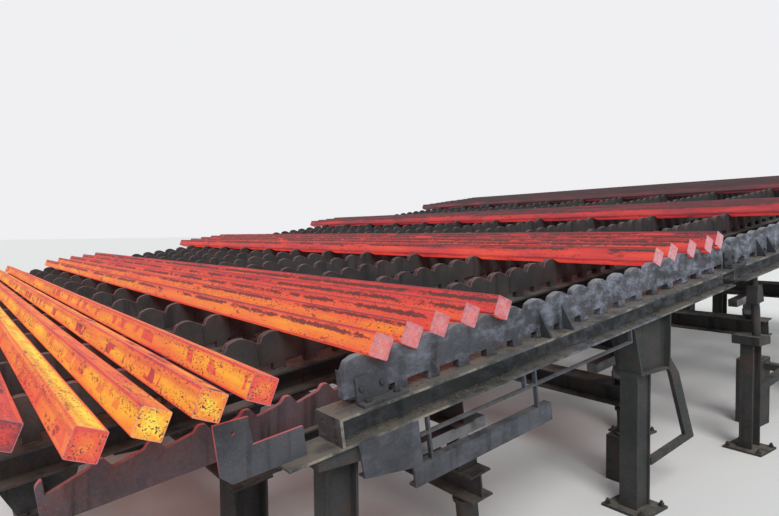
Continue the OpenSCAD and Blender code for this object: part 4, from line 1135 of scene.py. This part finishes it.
class COOLING_OT_loose_scale(BuildOperator, bpy.types.Operator):
    """Scatters flakes of scale that fell from the billets on the flanges"""
    bl_idname = "cooling.loose_scale"
    bl_label = "Loose scale"

    def build(self, scene):
        bed, beam, at = scene.bed_sizes, scene.beam_sizes, bed_lines()
        front, inner = Shell(), Shell()
        length = at["bay"] - beam.gap
        # On the lower flange in front most of it lies in heaps, and more of it in the hotter bays
        draws = hashed(11, 1500, 6)
        heaps = hashed(12, 14) * length
        near = heaps[(draws[:, 4] * len(heaps)).astype(int)] + (draws[:, 0] - 0.5) * 0.5
        along = np.where(draws[:, 5] < 0.7, near, draws[:, 0] * length).clip(0.03, length - 0.03)
        bay = np.floor(draws[:, 3] ** 1.6 * bed.bays)
        across = -(beam.web / 2 + 0.012 + draws[:, 1] ** 1.4 * (beam.width / 2 - beam.web / 2 - 0.03))
        places = bed_points(at["start"] + bay * at["bay"] + along, across, at["bottom"] + beam.flange)
        add_flakes(front, places, 0.004 + 0.017 * draws[:, 2] ** 3, 13)
        self.scatter(scene, front, 14, 900, 0.65, 0.003, 0.010)
        front.make("front_loose_scale", "scale_loose", "fixed_bed", "beam_steel")
        self.scatter(scene, inner, 16, 2600, 0.5, 0.004, 0.012, bed.rows - 1)
        inner.make("inner_loose_scale", "scale_loose", "fixed_bed", "beam_steel")

    def scatter(self, scene, shell, seed, count, share, least, spread, rows=0):
        """Flakes on the upper flanges, that share of them on the near side, on row 1 or on the rows behind it."""
        bed, rake, beam, at = scene.bed_sizes, scene.rake_sizes, scene.beam_sizes, bed_lines()
        draws = hashed(seed, count, 6)
        row = 1 + np.floor(draws[:, 5] * rows) if rows else 0
        side = np.where(draws[:, 3] < share, -1, 1)
        across = side * (rake.thickness / 2 + 0.012 + draws[:, 1] * (beam.width / 2 - rake.thickness / 2 - 0.024))
        bay = np.floor(draws[:, 4] * bed.bays)
        along = at["start"] + bay * at["bay"] + 0.02 + draws[:, 0] * (at["bay"] - beam.gap - 0.04)
        places = bed_points(along, row * bed.row_pitch + across, at["top"])
        add_flakes(shell, places, least + spread * draws[:, 2] ** 3, seed + 1)


class COOLING_OT_stage(BuildOperator, bpy.types.Operator):
    """Makes the pale floor, the soft light and the camera"""
    bl_idname = "cooling.stage"
    bl_label = "Stage"

    # Camera axes in the part's frame
    right = (0.79957, -0.60049, -0.01039)
    up = (0.03500, 0.02932, 0.99896)
    forward = (0.59955, 0.79910, -0.04447)

    def build(self, scene):
        look = scene.stage_look
        mesh = bpy.data.meshes.new("floor")
        far = 400.0
        mesh.from_pydata([(-far, -far, 0), (far, -far, 0), (far, far, 0), (-far, far, 0)], [], [(0, 1, 2, 3)])
        floor = Finish("floor_pale", Roughness=0.9)
        place = floor.place()
        tone = floor.mix(floor.noise(place, 0.6, 4.0, 0.6), linear(look.floor), linear(np.array(look.floor) * 0.97))
        mesh.materials.append(floor.finish(Base_Color=tone))
        ground = bpy.data.objects.new("floor", mesh)
        scene.collection.objects.link(ground)

        world = bpy.data.worlds.new("pale")
        sky = Tree(world)
        light = sky.node("ShaderNodeBackground", inputs={"Color": (0.93, 0.96, 1.0, 1.0), "Strength": look.fill})
        seen = sky.node("ShaderNodeBackground", inputs={"Color": linear((0.94, 0.94, 0.95))})
        eye = sky.node("ShaderNodeLightPath", output="Is Camera Ray")
        glossy = sky.node("ShaderNodeLightPath", output="Is Glossy Ray")
        both = sky.node("ShaderNodeMixShader", inputs={0: eye.larger(glossy), 1: light, 2: seen})
        sky.feed(sky.nodes["World Output"].inputs["Surface"], both)
        scene.world = world

        sun = bpy.data.objects.new("key", bpy.data.lights.new("key", "SUN"))
        sun.data.energy, sun.data.angle = look.key, math.radians(30)
        sun.rotation_euler = Vector((0.45, 0.75, -0.9)).to_track_quat("-Z", "Y").to_euler()
        scene.collection.objects.link(sun)

        camera = bpy.data.objects.new("camera", bpy.data.cameras.new("camera"))
        camera.data.lens, camera.data.sensor_width = look.lens, 36.0
        camera.data.clip_start, camera.data.clip_end = 0.05, 1000.0
        axes = Matrix([self.right, self.up, [-x for x in self.forward]]).transposed().to_4x4()
        camera.matrix_world = Matrix.Translation(Vector(scene.bed_sizes.corner) + Vector(look.eye)) @ axes
        scene.collection.objects.link(camera)
        scene.camera = camera
        scene.view_settings.view_transform = "Standard"


class COOLING_PT_panel(bpy.types.Panel):
    """Lists the operators in the order in which they run"""
    bl_idname = "COOLING_PT_panel"
    bl_label = "Cooling bed"
    bl_space_type = "VIEW_3D"
    bl_region_type = "UI"
    bl_category = "Cooling bed"

    def draw(self, context):
        for operator in OPERATORS:
            self.layout.operator(operator.bl_idname)


OPERATORS = (COOLING_OT_stage, COOLING_OT_fixed_rakes, COOLING_OT_walking_rakes, COOLING_OT_billets,
             COOLING_OT_steelwork, COOLING_OT_welds, COOLING_OT_bolts, COOLING_OT_lift_gear, COOLING_OT_loose_scale)
GROUPS = {"bed_sizes": BedSizes, "rake_sizes": RakeSizes, "beam_sizes": BeamSizes, "billet_sizes": BilletSizes,
          "steel_colours": SteelColours, "heat_colours": HeatColours, "stage_look": StageLook}


def register():
    for group in GROUPS.values():
        bpy.utils.register_class(group)
    for name, group in GROUPS.items():
        setattr(bpy.types.Scene, name, bpy.props.PointerProperty(type=group))
    for operator in OPERATORS:
        bpy.utils.register_class(operator)
    bpy.utils.register_class(COOLING_PT_panel)


def unregister():
    bpy.utils.unregister_class(COOLING_PT_panel)
    for operator in reversed(OPERATORS):
        bpy.utils.unregister_class(operator)
    for name in GROUPS:
        delattr(bpy.types.Scene, name)
    for group in reversed(list(GROUPS.values())):
        bpy.utils.unregister_class(group)


def main():
    register()
    for operator in OPERATORS:
        group, name = operator.bl_idname.split(".")
        getattr(getattr(bpy.ops, group), name)()


if __name__ == "__main__":
    main()
